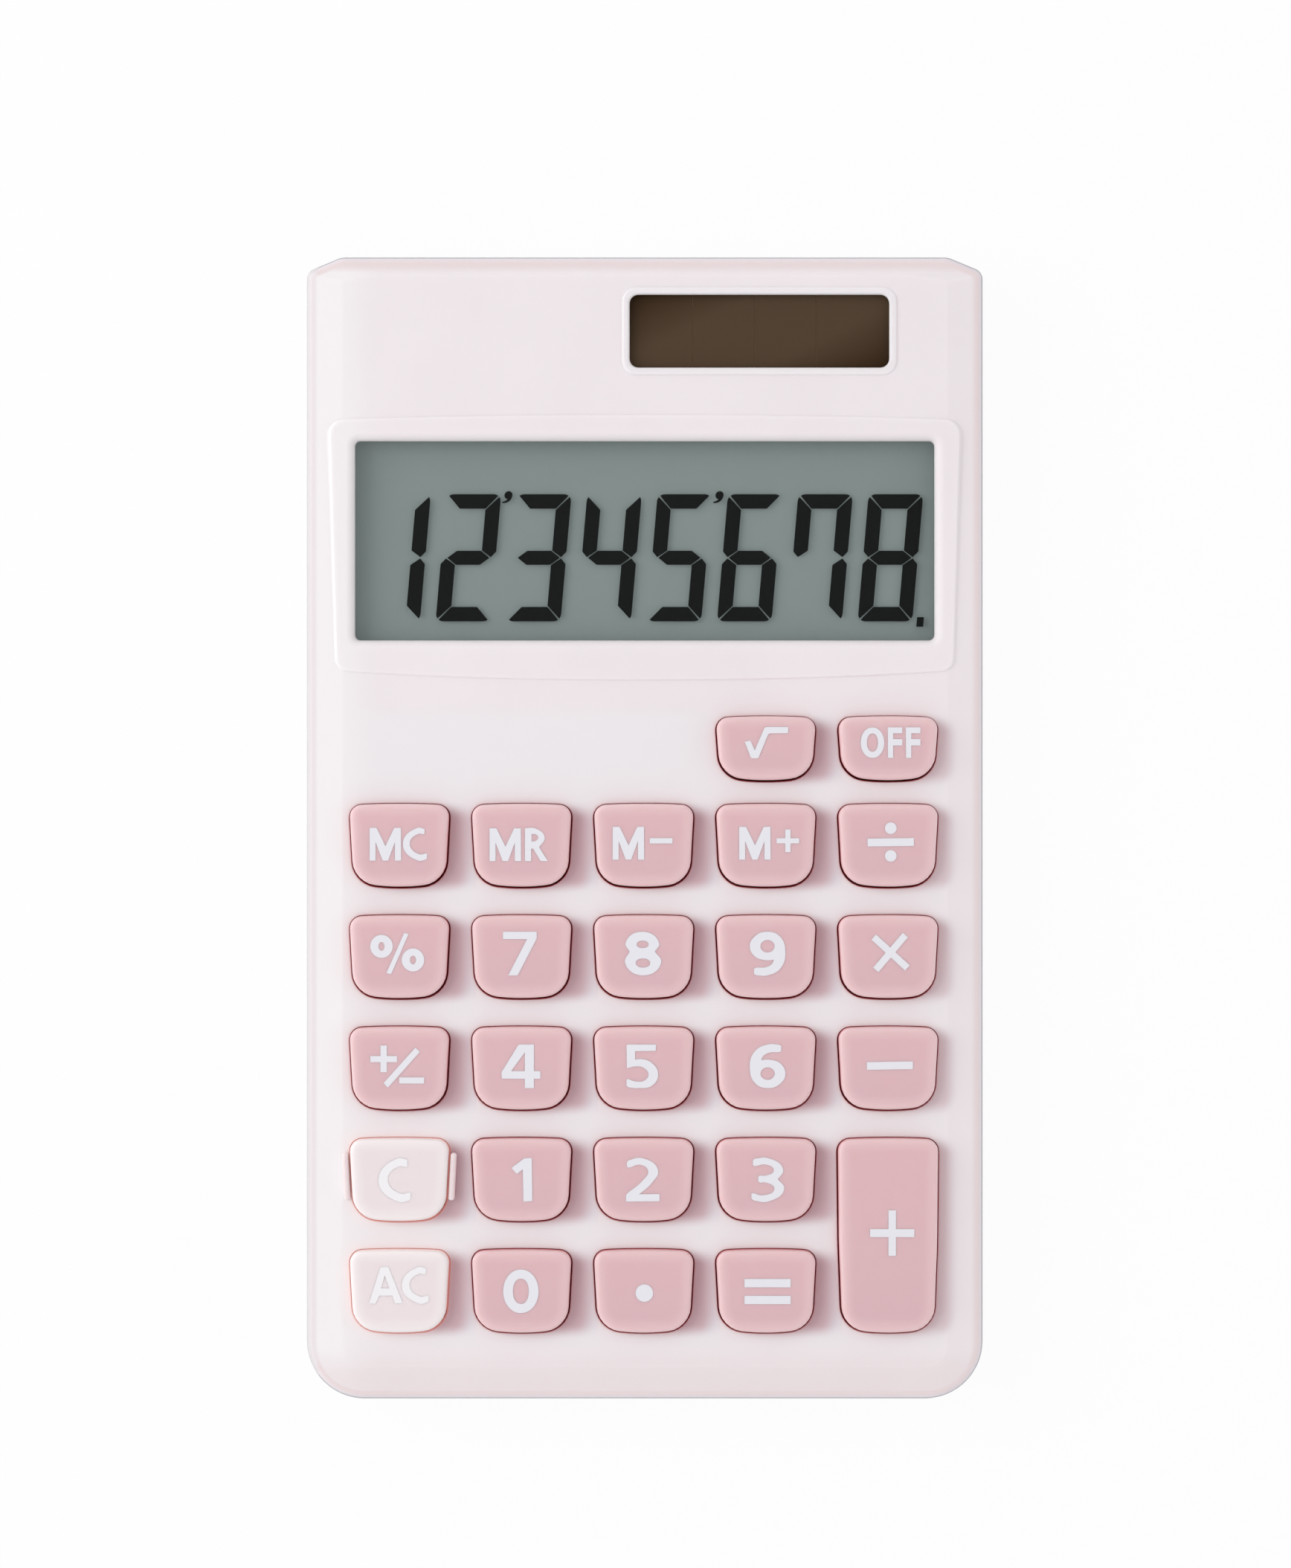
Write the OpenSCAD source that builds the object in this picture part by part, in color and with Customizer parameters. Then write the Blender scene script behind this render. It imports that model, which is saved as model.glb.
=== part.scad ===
// Desk calculator with an eight-digit display, a solar cell with a button cell behind it, and 26 keys.
// Millimetres. X runs to the right, Y towards the display end and Z up out of the keys.
// The origin is on the desk, under the middle of the casing.

/* [Casing] */
// Width of the casing, left to right
body_w = 70; // [70:0.5:74]
// Length of the casing, front to back
body_l = 118.2; // [118:0.2:122]
// Height of the flat top face above the desk
face_z = 9.4; // [9.2:0.1:10]
// Thickness of the top wall
face_t = 1.5; // [1.4:0.1:1.6]
// Thickness of the front casing's side wall
wall_t = 1.5; // [1.2:0.1:1.6]
// Height at which the two casings meet
split_z = 5; // [4.8:0.1:5.2]
// How far the rubber feet lift the rear casing off the desk
foot_lift = 0.6; // [0.4:0.1:0.6]

/* [Keys] */
// Width of a key at its widest
key_w = 10.35; // [9.8:0.05:10.5]
// Length of a key
key_l = 8.4; // [8.2:0.1:8.8]
// Length of the two short keys nearest the display
short_key_l = 6.45; // [6.4:0.05:6.7]
// Spacing of the key columns
column_pitch = 12.6; // [12.4:0.1:12.7]
// Spacing of the key rows
row_pitch = 11.5; // [11.3:0.1:11.6]
// Height of a key's crown above the top face
key_proud = 1.55; // [1.3:0.05:1.8]
// How far a key can be pressed down
key_travel = 0.9; // [0.5:0.1:1]
// Gap all round between a key and its opening
key_gap = 0.15; // [0.1:0.05:0.25]

/* [Display and solar cell] */
// Width of the display opening
display_w = 59.7; // [58:0.1:60]
// Height of the display opening
display_h = 20.4; // [20:0.1:20.6]
// Height of one displayed digit
digit_h = 13.2; // [12:0.1:13.4]
// Slant of the digits, in degrees
digit_slant = 4.9; // [0:0.1:8]
// Width of the solar cell opening
solar_w = 26.8; // [26:0.1:27]
// Height of the solar cell opening
solar_h = 7.5; // [7.4:0.1:7.6]

/* [Hidden] */
$fn = 48;
arc_steps = 5;

shell_colour = [0.93, 0.88, 0.89];
key_colour = [0.87, 0.72, 0.74];
pale_key_colour = [0.94, 0.90, 0.90];
glass_colour = [0.80, 0.88, 0.88, 0.35];

// Heights, from the desk upwards
back_z = foot_lift;
floor_t = 1.2;
floor_z = back_z + floor_t;
ceiling_z = face_z - face_t;
board_t = 1;
board_z = 3.3;
board_top = board_z + board_t;
mat_t = 0.8;
mat_top = board_top + mat_t;
dome_h = key_travel + 0.3;
dome_top = mat_top + dome_h;
dome_hollow = key_travel + 0.2;
pad_film = 0.05;
pill_t = 0.35;

// Casing
rear_wall_t = wall_t + 0.7;
lip_h = 0.8;
lip_gap = 0.1;
edge_slope_w = 3.8;
edge_slope_h = 0.4;
rear_edge = 1.2;
front_corner_r = 6;
chamfer_x = 3.6;
chamfer_y = 1.5;

// Keys: columns are counted from the middle one, rows from the display downwards
key_bow = [0.15, 0.25];
key_corner_r = [1.25, 2.6];
key_taper = 0.45;
key_lug = [0.8, 4.6, 0.7];
key_wall = 1.1;
key_skirt = 0.9;
key_roof = 0.7;
key_crown_r = [60, 160];
stem_r = 1.5;
stem_gap = 0.05;
keypad_x = -0.1;
keypad_y = -body_l / 2 + 11.4;
short_row_y = keypad_y + 4 * row_pitch + 10;
function row_y(row) = row == 0 ? short_row_y : keypad_y + (5 - row) * row_pitch;
function column_x(column) = keypad_x + column * column_pitch;

// Each key: name, column, row, kind
KEYS = [
    ["key_square_root", 1, 0, "short"], ["key_off", 2, 0, "short"],
    ["key_memory_clear", -2, 1, "plain"], ["key_memory_recall", -1, 1, "plain"],
    ["key_memory_minus", 0, 1, "plain"], ["key_memory_plus", 1, 1, "plain"],
    ["key_divide", 2, 1, "plain"],
    ["key_percent", -2, 2, "plain"], ["key_7", -1, 2, "plain"], ["key_8", 0, 2, "plain"],
    ["key_9", 1, 2, "plain"], ["key_multiply", 2, 2, "plain"],
    ["key_sign", -2, 3, "plain"], ["key_4", -1, 3, "plain"], ["key_5", 0, 3, "plain"],
    ["key_6", 1, 3, "plain"], ["key_minus", 2, 3, "plain"],
    ["key_clear", -2, 4, "pale"], ["key_1", -1, 4, "plain"], ["key_2", 0, 4, "plain"],
    ["key_3", 1, 4, "plain"], ["key_plus", 2, 4.5, "tall"],
    ["key_all_clear", -2, 5, "pale"], ["key_0", -1, 5, "plain"], ["key_decimal", 0, 5, "plain"],
    ["key_equals", 1, 5, "plain"]
];
// How far the crown drops from its middle to the key's corners
function key_sag(length) =
    let (corner = norm([key_w / 2, length / 2]), r = key_crown_r[length > key_l ? 1 : 0])
    r - sqrt(r * r - corner * corner);
function key_length(key) = key[3] == "short" ? short_key_l : key[3] == "tall" ? key_l + row_pitch : key_l;
function key_place(key) = [column_x(key[1]), row_y(key[2])];
// The rubber domes under a key, from its middle: the tall key has two
function dome_offsets(key) = key[3] == "tall" ? [-row_pitch / 2, row_pitch / 2] : [0];
DOMES = [for (key = KEYS) for (dy = dome_offsets(key)) key_place(key) + [0, dy]];

// Display
display_y = body_l / 2 - 29.4;
bezel_h = 0.25;
window_t = 0.8;
window_z = face_z - 0.5 - window_t;
gasket_t = 0.3;
lcd_glass_t = 0.4;
front_glass_z = window_z - gasket_t - lcd_glass_t;
segment_t = 0.06;
rear_glass_z = front_glass_z - segment_t - lcd_glass_t;
reflector_t = 0.14;
reflector_z = rear_glass_z - reflector_t;
pad_t = 1;
lcd_w = 64;
lcd_h = 24.6;
contact_ledge = 2.2;
digit_pitch = 7.3;
digit_w = 5.67;
segment_w = 1.5;
digit_drop = 1.67;

// Solar cell
solar_x = body_w / 2 - 23.15;
solar_y = body_l / 2 - 7.75;
solar_rim = 1;
solar_rim_h = 0.25;
solar_glass_t = 0.7;
solar_glass_z = face_z - 0.1 - solar_glass_t;
solar_film_t = 0.1;
solar_back_t = 0.2;
solar_margin = 0.8;
solar_seam = 0.1;
solar_strip = 6.4;
solar_shift = -0.5;

// Screws: shank radius, head radius, head height
case_screw = [0.8, 1.9, 1.3];
board_screw = [0.65, 1.5, 0.9];
cover_screw = [0.65, 1.5, 0.55];
case_boss_r = 2.2;
case_post_top = 3.4;
screw_seat_z = 2.2;
CASE_SCREWS = [
    for (side = [-1, 1]) each [
        [side * (body_w / 2 - 5.2), -body_l / 2 + 5.2],
        [side * (body_w / 2 - 4.7), body_l / 2 - 4.6]
    ]
];
// Between four keys, where there is room for a boss
function between_keys(column, row) = [column_x(column + 0.5), row_y(row) - row_pitch / 2];
BOARD_SCREWS = [
    between_keys(-2, 1), between_keys(1, 1), between_keys(-2, 3),
    between_keys(1, 3), between_keys(-1, 4), between_keys(0, 4)
];
board_boss_r = 1.75;

// Button cell, in the rear casing beside the solar cell
cell_r = 5.8;
cell_h = 3.05;
cell_place = [-body_w / 2 + 15, body_l / 2 - 8.9];
cell_z = back_z + 1.1;
cover_size = [20, 13.6];
cover_t = 1;
cover_shift = 2.6;
cover_place = cell_place + [cover_shift, 0];
cover_screw_place = cell_place + [9.8, 0];
bay_floor_z = 2.2;
bay_wall_top = 5.4;

FEET = [
    for (side = [-1, 1]) each [[side * 26.5, body_l / 2 - 22.6], [side * 25, -body_l / 2 + 13.1]]
];
foot_r = 4;
foot_sunk = 0.5;

// Leads, from the solar cell and from the button cell down to the circuit board
lead_r = 0.45;
SOLAR_PLUS_ROUTE = [
    [24, 51, 8.3], [24, 51, 6.4], [25, 47, 4.8], [26, 38, 4.2], [26, 28, 4.2], [25.6, 20, 4.4],
    [25, 16.6, 5], [24.6, 15, 4.8]
];
SOLAR_MINUS_ROUTE = [
    [2, 50, 8.3], [2, 50, 6.4], [6, 47.4, 4.8], [20, 41, 4.2], [23, 34, 4.2], [23.6, 26, 4.2],
    [23, 19, 4.4], [22.8, 16.6, 5], [22.7, 15, 4.8]
];
CELL_PLUS_ROUTE = [
    [-12.6, 46, 4.6], [-13, 43.6, 4.2], [-16, 38, 4.2], [-22, 32, 4.2], [-25, 24, 4.2],
    [-25.2, 19, 4.4], [-25, 16.6, 5], [-24.6, 15, 4.8]
];
CELL_MINUS_ROUTE = [
    [-26.6, 44.6, 5.9], [-26.7, 43.2, 5.9], [-27.2, 41, 4.6], [-27.6, 32, 4.2], [-27.4, 24, 4.2],
    [-27.4, 19, 4.4], [-27.2, 16.6, 5], [-27, 15, 4.8]
];

// ---- Outlines ----

function unit(v) = v / norm(v);
function short_turn(a) = a > 180 ? a - 360 : a < -180 ? a + 360 : a;
function flat(p) = [p.x, p.y];

// The arc of radius r that rounds corner b, which lies between a and c
function corner_arc(a, b, c, r) =
    let (
        to_a = unit(a - b),
        to_c = unit(c - b),
        half = acos(to_a * to_c) / 2,
        centre = b + unit(to_a + to_c) * r / sin(half),
        first = b + to_a * r / tan(half) - centre,
        last = b + to_c * r / tan(half) - centre,
        start = atan2(first.y, first.x),
        sweep = short_turn(atan2(last.y, last.x) - start)
    )
    [for (i = [0 : arc_steps])
        let (angle = start + sweep * i / arc_steps)
        centre + r * [cos(angle), sin(angle)]];

// An outline from its corners, each [x, y, radius]
function rounded(corners) =
    let (n = len(corners))
    [for (i = [0 : n - 1])
        let (before = corners[(i + n - 1) % n], after = corners[(i + 1) % n])
        each corner_arc(flat(before), flat(corners[i]), flat(after), corners[i].z)];

function rounded_box(w, h, r) =
    let (x = w / 2, y = h / 2)
    rounded([[-x, -y, r], [x, -y, r], [x, y, r], [-x, y, r]]);

// Moves to a place on the plan, at a height
module at(place, z) translate([place.x, place.y, z]) children();

// A casing outline: large corners in front, small chamfered ones at the display end
module body_outline(inset = 0) {
    x = body_w / 2;
    y = body_l / 2;
    offset(delta = -inset) polygon(rounded([
        [-x, -y, front_corner_r], [x, -y, front_corner_r],
        [x, y - chamfer_y, 0.8], [x - chamfer_x, y, 2], [-x + chamfer_x, y, 2], [-x, y - chamfer_y, 0.8]
    ]));
}

// A slab of the casing outline between two heights
module body_slab(low, high, inset = 0)
    at([0, 0], low) linear_extrude(high - low) body_outline(inset);

// A key seen from above: narrower towards the user, with bowed ends.
// The tall key's sides bend half way down.
function key_corners(w, l, grow, tall) =
    let (
        x = w / 2 + grow,
        y = l / 2 + grow,
        low_x = x - key_taper,
        top_bow_r = (x - 1.6) * x / (2 * key_bow[0]),
        low_bow_r = (x - 3.4) * x / (2 * key_bow[1])
    )
    concat(
        [[-x, y - key_bow[0], key_corner_r[0] + grow], [0, y + key_bow[0], top_bow_r],
            [x, y - key_bow[0], key_corner_r[0] + grow]],
        tall ? [[x - 0.12, -1, 60]] : [],
        [[low_x, -y + key_bow[1], key_corner_r[1] + grow], [0, -y - key_bow[1], low_bow_r],
            [-low_x, -y + key_bow[1], key_corner_r[1] + grow]],
        tall ? [[-x + 0.12, -1, 60]] : []
    );

module key_outline(key, grow = 0)
    polygon(rounded(key_corners(key_w, key_length(key), grow, key[3] == "tall")));

// ---- Casings ----

module front_shell() difference() {
    union() {
        body_slab(split_z, face_z - edge_slope_h);
        hull() {
            body_slab(face_z - edge_slope_h - 0.1, face_z - edge_slope_h);
            body_slab(face_z - 0.01, face_z, edge_slope_w);
        }
    }
    body_slab(split_z - 1, ceiling_z, wall_t);
}

// The raised frame round the display: wider at its top, with bowed ends
module bezel_outline() {
    top_x = body_w / 2 - 2.05;
    low_x = body_w / 2 - 2.8;
    top_y = display_y + 12.8;
    low_y = display_y - 13.75;
    polygon(rounded([
        [-top_x, top_y, 1.9], [0, top_y + 1.05, 900], [top_x, top_y, 1.9],
        [low_x, low_y, 1.2], [0, low_y - 2, 450], [-low_x, low_y, 1.2]
    ]));
}

module display_bezel() at([0, 0], ceiling_z) linear_extrude(face_z + bezel_h - ceiling_z) bezel_outline();

module display_opening() translate([0, display_y]) {
    translate([0, 0, ceiling_z - 1]) linear_extrude(5) polygon(rounded_box(display_w, display_h, 0.4));
    translate([0, 0, ceiling_z - 1]) linear_extrude(window_z + window_t - ceiling_z + 1)
        polygon(rounded_box(display_w + 2.8, display_h + 2.4, 0.6));
}

module solar_surround() translate([solar_x, solar_y, ceiling_z])
    linear_extrude(face_z + solar_rim_h - ceiling_z)
        polygon(rounded_box(solar_w + 2 * solar_rim, solar_h + 2 * solar_rim, 1.7));

module solar_opening() translate([solar_x, solar_y]) {
    translate([0, 0, ceiling_z - 1]) linear_extrude(5) polygon(rounded_box(solar_w, solar_h, 0.8));
    translate([0, 0, ceiling_z - 1]) linear_extrude(solar_glass_z + solar_glass_t - ceiling_z + 1)
        square([solar_w + 2 * solar_margin + 0.2, solar_h + 2 * solar_margin + 0.2], center = true);
}

// Two low walls that stop the clear key being pressed by mistake
module key_guards() {
    guard = [0.65, 4.9, 1.2];
    lean = atan2(key_taper, key_l);
    out_x = (key_w - key_taper + guard.x) / 2 + key_gap + 0.05;
    for (side = [-1, 1])
        at(key_place(KEYS[17]) + [side * out_x, 0.25], ceiling_z)
            rotate(-side * lean)
                translate([-guard.x / 2, -guard.y / 2, 0])
                    cube([guard.x, guard.y, face_z + guard.z - ceiling_z]);
}

module key_openings() for (key = KEYS)
    at(key_place(key), ceiling_z - 1) linear_extrude(face_t + 2) key_outline(key, key_gap);

module bosses(places, r, low) for (place = places)
    at(place, low) cylinder(r = r, h = ceiling_z + 0.2 - low);

module pilot_holes(places, r, low) for (place = places)
    at(place, low - 1) cylinder(r = r, h = ceiling_z + 0.5 - low);

module front_casing() color(shell_colour) difference() {
    union() {
        front_shell();
        display_bezel();
        solar_surround();
        key_guards();
        bosses(CASE_SCREWS, case_boss_r, case_post_top + 0.05);
        bosses(BOARD_SCREWS, board_boss_r, board_top);
    }
    display_opening();
    solar_opening();
    key_openings();
    pilot_holes(CASE_SCREWS, case_screw[0] + 0.05, case_post_top + 0.05);
    pilot_holes(BOARD_SCREWS, board_screw[0] + 0.05, board_top);
}

module rear_tray() difference() {
    union() {
        hull() {
            body_slab(back_z, back_z + 0.1, rear_edge);
            body_slab(back_z + rear_edge, back_z + rear_edge + 0.1);
        }
        body_slab(back_z + rear_edge, split_z);
        body_slab(split_z - 1, split_z + lip_h, wall_t + lip_gap);
    }
    body_slab(floor_z, split_z + 2, rear_wall_t);
}

module screw_posts() for (place = CASE_SCREWS)
    at(place, back_z + 0.2) cylinder(r = 2.9, h = case_post_top - back_z - 0.2);

module screw_wells() for (place = CASE_SCREWS) at(place, back_z - 1) {
    cylinder(r = case_screw[1] + 0.15, h = screw_seat_z - back_z + 1);
    cylinder(r = case_screw[0] + 0.3, h = 5);
}

// Ribs that press on the foam pad behind the display
module display_props() for (x = [-29.4, -9.5, 9.5, 29.4])
    at([x - 0.6, display_y - 6], floor_z - 0.2) cube([1.2, 16, reflector_z - pad_t - floor_z + 0.2]);

// Pegs that hold the circuit board down from behind
module board_props() for (column = [-1, 1]) for (row = [1.5, 4.5])
    at([column_x(column), row_y(row)], floor_z - 0.2) cylinder(r = 1.1, h = board_z - floor_z + 0.2);

module battery_bay() {
    at(cell_place, floor_z - 0.2) cylinder(r = cell_r + 1.1, h = bay_wall_top - floor_z + 0.2);
    at(cover_place, back_z + 0.2)
        linear_extrude(bay_floor_z - back_z - 0.2) square(cover_size + [3, 1.6], center = true);
    at(cover_screw_place, back_z + 0.2) cylinder(r = 1.9, h = 4);
}

// The well for the cell, the recess for the cover, and slots for its tongue and for the two contacts
module battery_bay_cuts() {
    at(cell_place, back_z - 1) cylinder(r = cell_r + 0.25, h = 8);
    at(cover_place, back_z - 1)
        linear_extrude(cover_t + 1.05) polygon(rounded_box(cover_size.x + 0.3, cover_size.y + 0.3, 1.2));
    at(cover_place - [cover_size.x / 2 + 1.3, 2.2], back_z + 0.45) cube([2, 4.4, 0.65]);
    at(cell_place + [cell_r - 0.6, -4.2], bay_floor_z + 0.2) cube([2.4, 3.4, 4]);
    at(cell_place - [cell_r + 2, 3.6], cell_z + cell_h) cube([5, 3.2, 3]);
    at(cover_screw_place, back_z) cylinder(r = cover_screw[0] + 0.05, h = 5);
}

module foot_wells() for (place = FEET)
    at(place, back_z - 1) cylinder(r = foot_r + 0.1, h = foot_sunk + 1);

// A bare, slightly sunk panel in the middle of the back
module label_panel() at([0, 8], back_z - 1) linear_extrude(1.2) polygon(rounded_box(42, 20, 1.5));

module rear_casing() color(shell_colour) difference() {
    union() {
        rear_tray();
        screw_posts();
        display_props();
        board_props();
        battery_bay();
    }
    screw_wells();
    battery_bay_cuts();
    foot_wells();
    label_panel();
}

module rubber_feet() color([0.75, 0.72, 0.72]) for (place = FEET)
    at(place, 0) cylinder(r = foot_r, h = foot_lift + foot_sunk);

// A screw with its seat at z = 0 and its point upwards, with a cross slot in its head
module screw(size, length) {
    slot = [size[1] * 1.24, 0.44, size[2] * 0.5 + 1];
    difference() {
        translate([0, 0, -size[2]]) cylinder(r = size[1], h = size[2]);
        for (angle = [0, 90]) rotate(angle) translate([-slot.x / 2, -slot.y / 2, -size[2] - 1]) cube(slot);
    }
    translate([0, 0, -0.01]) cylinder(r = size[0], h = length - size[0]);
    translate([0, 0, length - size[0] - 0.01]) cylinder(r1 = size[0], r2 = 0.15, h = size[0]);
}

module case_screws() color("silver") for (place = CASE_SCREWS) at(place, screw_seat_z) screw(case_screw, 5);

// ---- Display ----

module display_window() color(glass_colour) at([0, display_y], window_z)
    linear_extrude(window_t) polygon(rounded_box(display_w + 2.6, display_h + 2.2, 0.5));

module display_gasket() color([0.2, 0.2, 0.2]) at([0, display_y], window_z - gasket_t)
    linear_extrude(gasket_t) difference() {
        square([display_w + 2.6, display_h + 2.2], center = true);
        square([display_w + 0.6, display_h + 0.6], center = true);
    }

// A plate of the display's sandwich, from its lower and upper edges, measured from the display's middle
module lcd_plate(z, t, w, low, high) at([-w / 2, display_y + low], z) cube([w, high - low, t]);

module lcd_front_glass() color(glass_colour)
    lcd_plate(front_glass_z, lcd_glass_t, lcd_w, -lcd_h / 2, lcd_h / 2);

module lcd_rear_glass() color(glass_colour)
    lcd_plate(rear_glass_z, lcd_glass_t, lcd_w, -lcd_h / 2 - contact_ledge, lcd_h / 2);

module lcd_reflector() color([0.50, 0.55, 0.53])
    lcd_plate(reflector_z, reflector_t, lcd_w - 1, -lcd_h / 2 + 0.3, lcd_h / 2 - 0.3);

// Two strips of foam between the display and the ribs of the rear casing
module display_pad() color([0.35, 0.35, 0.37]) for (side = [-1, 1])
    at([side * 19 - 11, display_y - 5], reflector_z - pad_t) cube([22, 14, pad_t]);

// The seven bars of a digit, drawn upright about its middle. The ends of the bars are mitred,
// and the tips at the middle lie nearer to the outside of the digit than to the inside.
mitre_gap = 0.13;
tip = 0.52;
outer_r = 0.75;
digit_x = digit_w / 2;
digit_y = digit_h / 2;

// The bar along the top, between the two mitres
function top_bar() = [
    [-digit_x + mitre_gap, digit_y], [digit_x - mitre_gap, digit_y],
    [digit_x - segment_w, digit_y - segment_w], [-digit_x + segment_w, digit_y - segment_w]
];

// The upright bar at the top right
function side_bar() = [
    [digit_x, digit_y - mitre_gap], [digit_x, segment_w / 2 - 0.1],
    [digit_x - tip, mitre_gap / 2], [digit_x - segment_w, segment_w / 2],
    [digit_x - segment_w, digit_y - segment_w - mitre_gap]
];

function middle_bar() =
    let (end_x = digit_x - tip - mitre_gap, x = digit_x - segment_w - 0.1, y = segment_w / 2 - 0.02)
    [[-end_x, 0], [-x, y], [x, y], [end_x, 0], [x, -y], [-x, -y]];

// Bars in the order a to g: top, top right, low right, bottom, low left, top left, middle
module digit_bar(index) {
    flip_x = index == 4 || index == 5 ? 1 : 0;
    flip_y = index == 2 || index == 3 || index == 4 ? 1 : 0;
    intersection() {
        mirror([flip_x, 0]) mirror([0, flip_y])
            polygon(index == 6 ? middle_bar() : index == 0 || index == 3 ? top_bar() : side_bar());
        polygon(rounded_box(digit_w, digit_h, outer_r));
    }
}

// Which bars each displayed figure lights, from the left: 1 2 3 4 5 6 7 8
LIT_BARS = [
    [1, 2], [0, 1, 3, 4, 6], [0, 1, 2, 3, 6], [1, 2, 5, 6],
    [0, 2, 3, 5, 6], [0, 2, 3, 4, 5, 6], [0, 1, 2, 5], [0, 1, 2, 3, 4, 5, 6]
];

// Slants what lies flat about the digits' middle line
module slanted() multmatrix([[1, tan(digit_slant), 0], [0, 1, 0], [0, 0, 1]]) children();

module thousands_tick() {
    circle(r = 0.42);
    intersection() {
        difference() {
            translate([-0.4, 0]) circle(r = 0.82);
            translate([-0.68, 0.13]) circle(r = 0.82);
        }
        translate([-0.6, -0.95]) square([1.2, 0.95]);
    }
}

module lcd_segments() color([0.08, 0.09, 0.09])
    at([-0.05, display_y - digit_drop], front_glass_z - segment_t) linear_extrude(segment_t) slanted() {
        for (i = [0 : 7]) translate([(i - 3.5) * digit_pitch, 0]) for (bar = LIT_BARS[i]) digit_bar(bar);
        for (i = [1, 4]) translate([(i - 3) * digit_pitch - 0.05, digit_y - 0.1]) thousands_tick();
        translate([4 * digit_pitch, -digit_y - 0.06]) square([0.72, 1], center = true);
    }

// The film that joins the display's contact ledge to the board, folded back on itself
module display_ribbon() color([0.75, 0.55, 0.25]) {
    film = 0.15;
    high = front_glass_z - segment_t;
    low = board_top;
    fold_r = (high + film - low) / 2;
    fold_y = display_y - lcd_h / 2 - contact_ledge - 0.8;
    translate([-22, fold_y, low]) rotate([90, 0, 90]) linear_extrude(44) {
        translate([0, high - low]) square([2.8, film]);
        square([1.8, film]);
        translate([0, fold_r]) intersection() {
            difference() {
                circle(r = fold_r);
                circle(r = fold_r - film);
            }
            translate([-2 * fold_r, -2 * fold_r]) square([2 * fold_r, 4 * fold_r]);
        }
    }
}

// ---- Solar cell ----

solar_plate = [solar_w + 2 * solar_margin, solar_h + 2 * solar_margin];

module solar_glass() color(glass_colour) at([solar_x, solar_y], solar_glass_z)
    linear_extrude(solar_glass_t) square(solar_plate, center = true);

// Four strips in series. The seams lie a little to the left of the middle, and the end strips are wider.
module solar_cells() color([0.32, 0.26, 0.20]) {
    half = solar_plate.x / 2 - 0.3;
    edges = [-half, solar_shift - solar_strip, solar_shift, solar_shift + solar_strip, half];
    for (i = [0 : 3])
        at([solar_x + edges[i] + solar_seam / 2, solar_y - solar_plate.y / 2 + 0.3],
            solar_glass_z - solar_film_t)
            cube([edges[i + 1] - edges[i] - solar_seam, solar_plate.y - 0.6, solar_film_t]);
}

module solar_backing() color([0.45, 0.33, 0.22])
    at([solar_x, solar_y], solar_glass_z - solar_film_t - solar_back_t)
        linear_extrude(solar_back_t) square(solar_plate - [0.4, 0.4], center = true);

// ---- Circuit board and keypad ----

board_w = body_w - 2 * rear_wall_t - 1;
board_low = -body_l / 2 + 7.1;
board_high = display_y - 13.2;

module circuit_board() color([0.72, 0.56, 0.30]) at([0, 0], board_z) linear_extrude(board_t) difference() {
    polygon([
        [-board_w / 2 + 5, board_low], [board_w / 2 - 5, board_low], [board_w / 2, board_low + 5],
        [board_w / 2, board_high], [-board_w / 2, board_high], [-board_w / 2, board_low + 5]
    ]);
    for (place = BOARD_SCREWS) translate(place) circle(r = 1);
}

// Two carbon halves under every dome
module contact_pads() color([0.15, 0.15, 0.16]) for (place = DOMES)
    at(place, board_top) linear_extrude(pad_film) difference() {
        circle(r = 2.2);
        rotate(45) square([6, 0.35], center = true);
    }

// A blob of resin over the bare chip, on the board's underside
module chip_cap() color([0.08, 0.08, 0.09]) at([-6.3, row_y(1) + 4], board_z) intersection() {
    translate([0, 0, 12]) sphere(r = 13.1, $fn = 160);
    translate([0, 0, -2]) cylinder(r = 6, h = 2);
}

module capacitors() color([0.62, 0.50, 0.36]) for (x = [4, 7, 10])
    at([x, row_y(1) + 8], board_z - 0.9) cube([1.2, 2, 0.9]);

module resistors() color([0.12, 0.12, 0.13]) for (x = [4, 7])
    at([x, row_y(1) + 2], board_z - 0.5) cube([0.9, 1.6, 0.5]);

module board_screws() color("silver") for (place = BOARD_SCREWS) at(place, board_z) screw(board_screw, 3.6);

// One sheet of rubber with a dome under every key
module keypad_mat() color([0.80, 0.78, 0.78]) difference() {
    mat_w = board_w - 1.2;
    mat_low = board_low + 0.4;
    union() {
        at([-mat_w / 2, mat_low], board_top) difference() {
            cube([mat_w, short_row_y + 4 - mat_low, mat_t]);
            for (x = [0, mat_w]) at([x, 0], -1) rotate(45) cube([6.4, 6.4, 4], center = true);
        }
        for (place = DOMES) at(place, mat_top - 0.01) cylinder(r1 = 3.1, r2 = 1.9, h = dome_h + 0.01);
    }
    for (place = DOMES) at(place, board_top - 0.01) cylinder(r1 = 2.8, r2 = 1.5, h = dome_hollow + 0.01);
    for (place = BOARD_SCREWS) at(place, board_top - 1) cylinder(r = board_boss_r + 0.25, h = 4);
}

// The conducting disc inside each dome
module contact_pills() color([0.10, 0.10, 0.11]) for (place = DOMES)
    at(place, board_top + dome_hollow - pill_t) cylinder(r = 1.4, h = pill_t);

// ---- Keys ----

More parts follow.
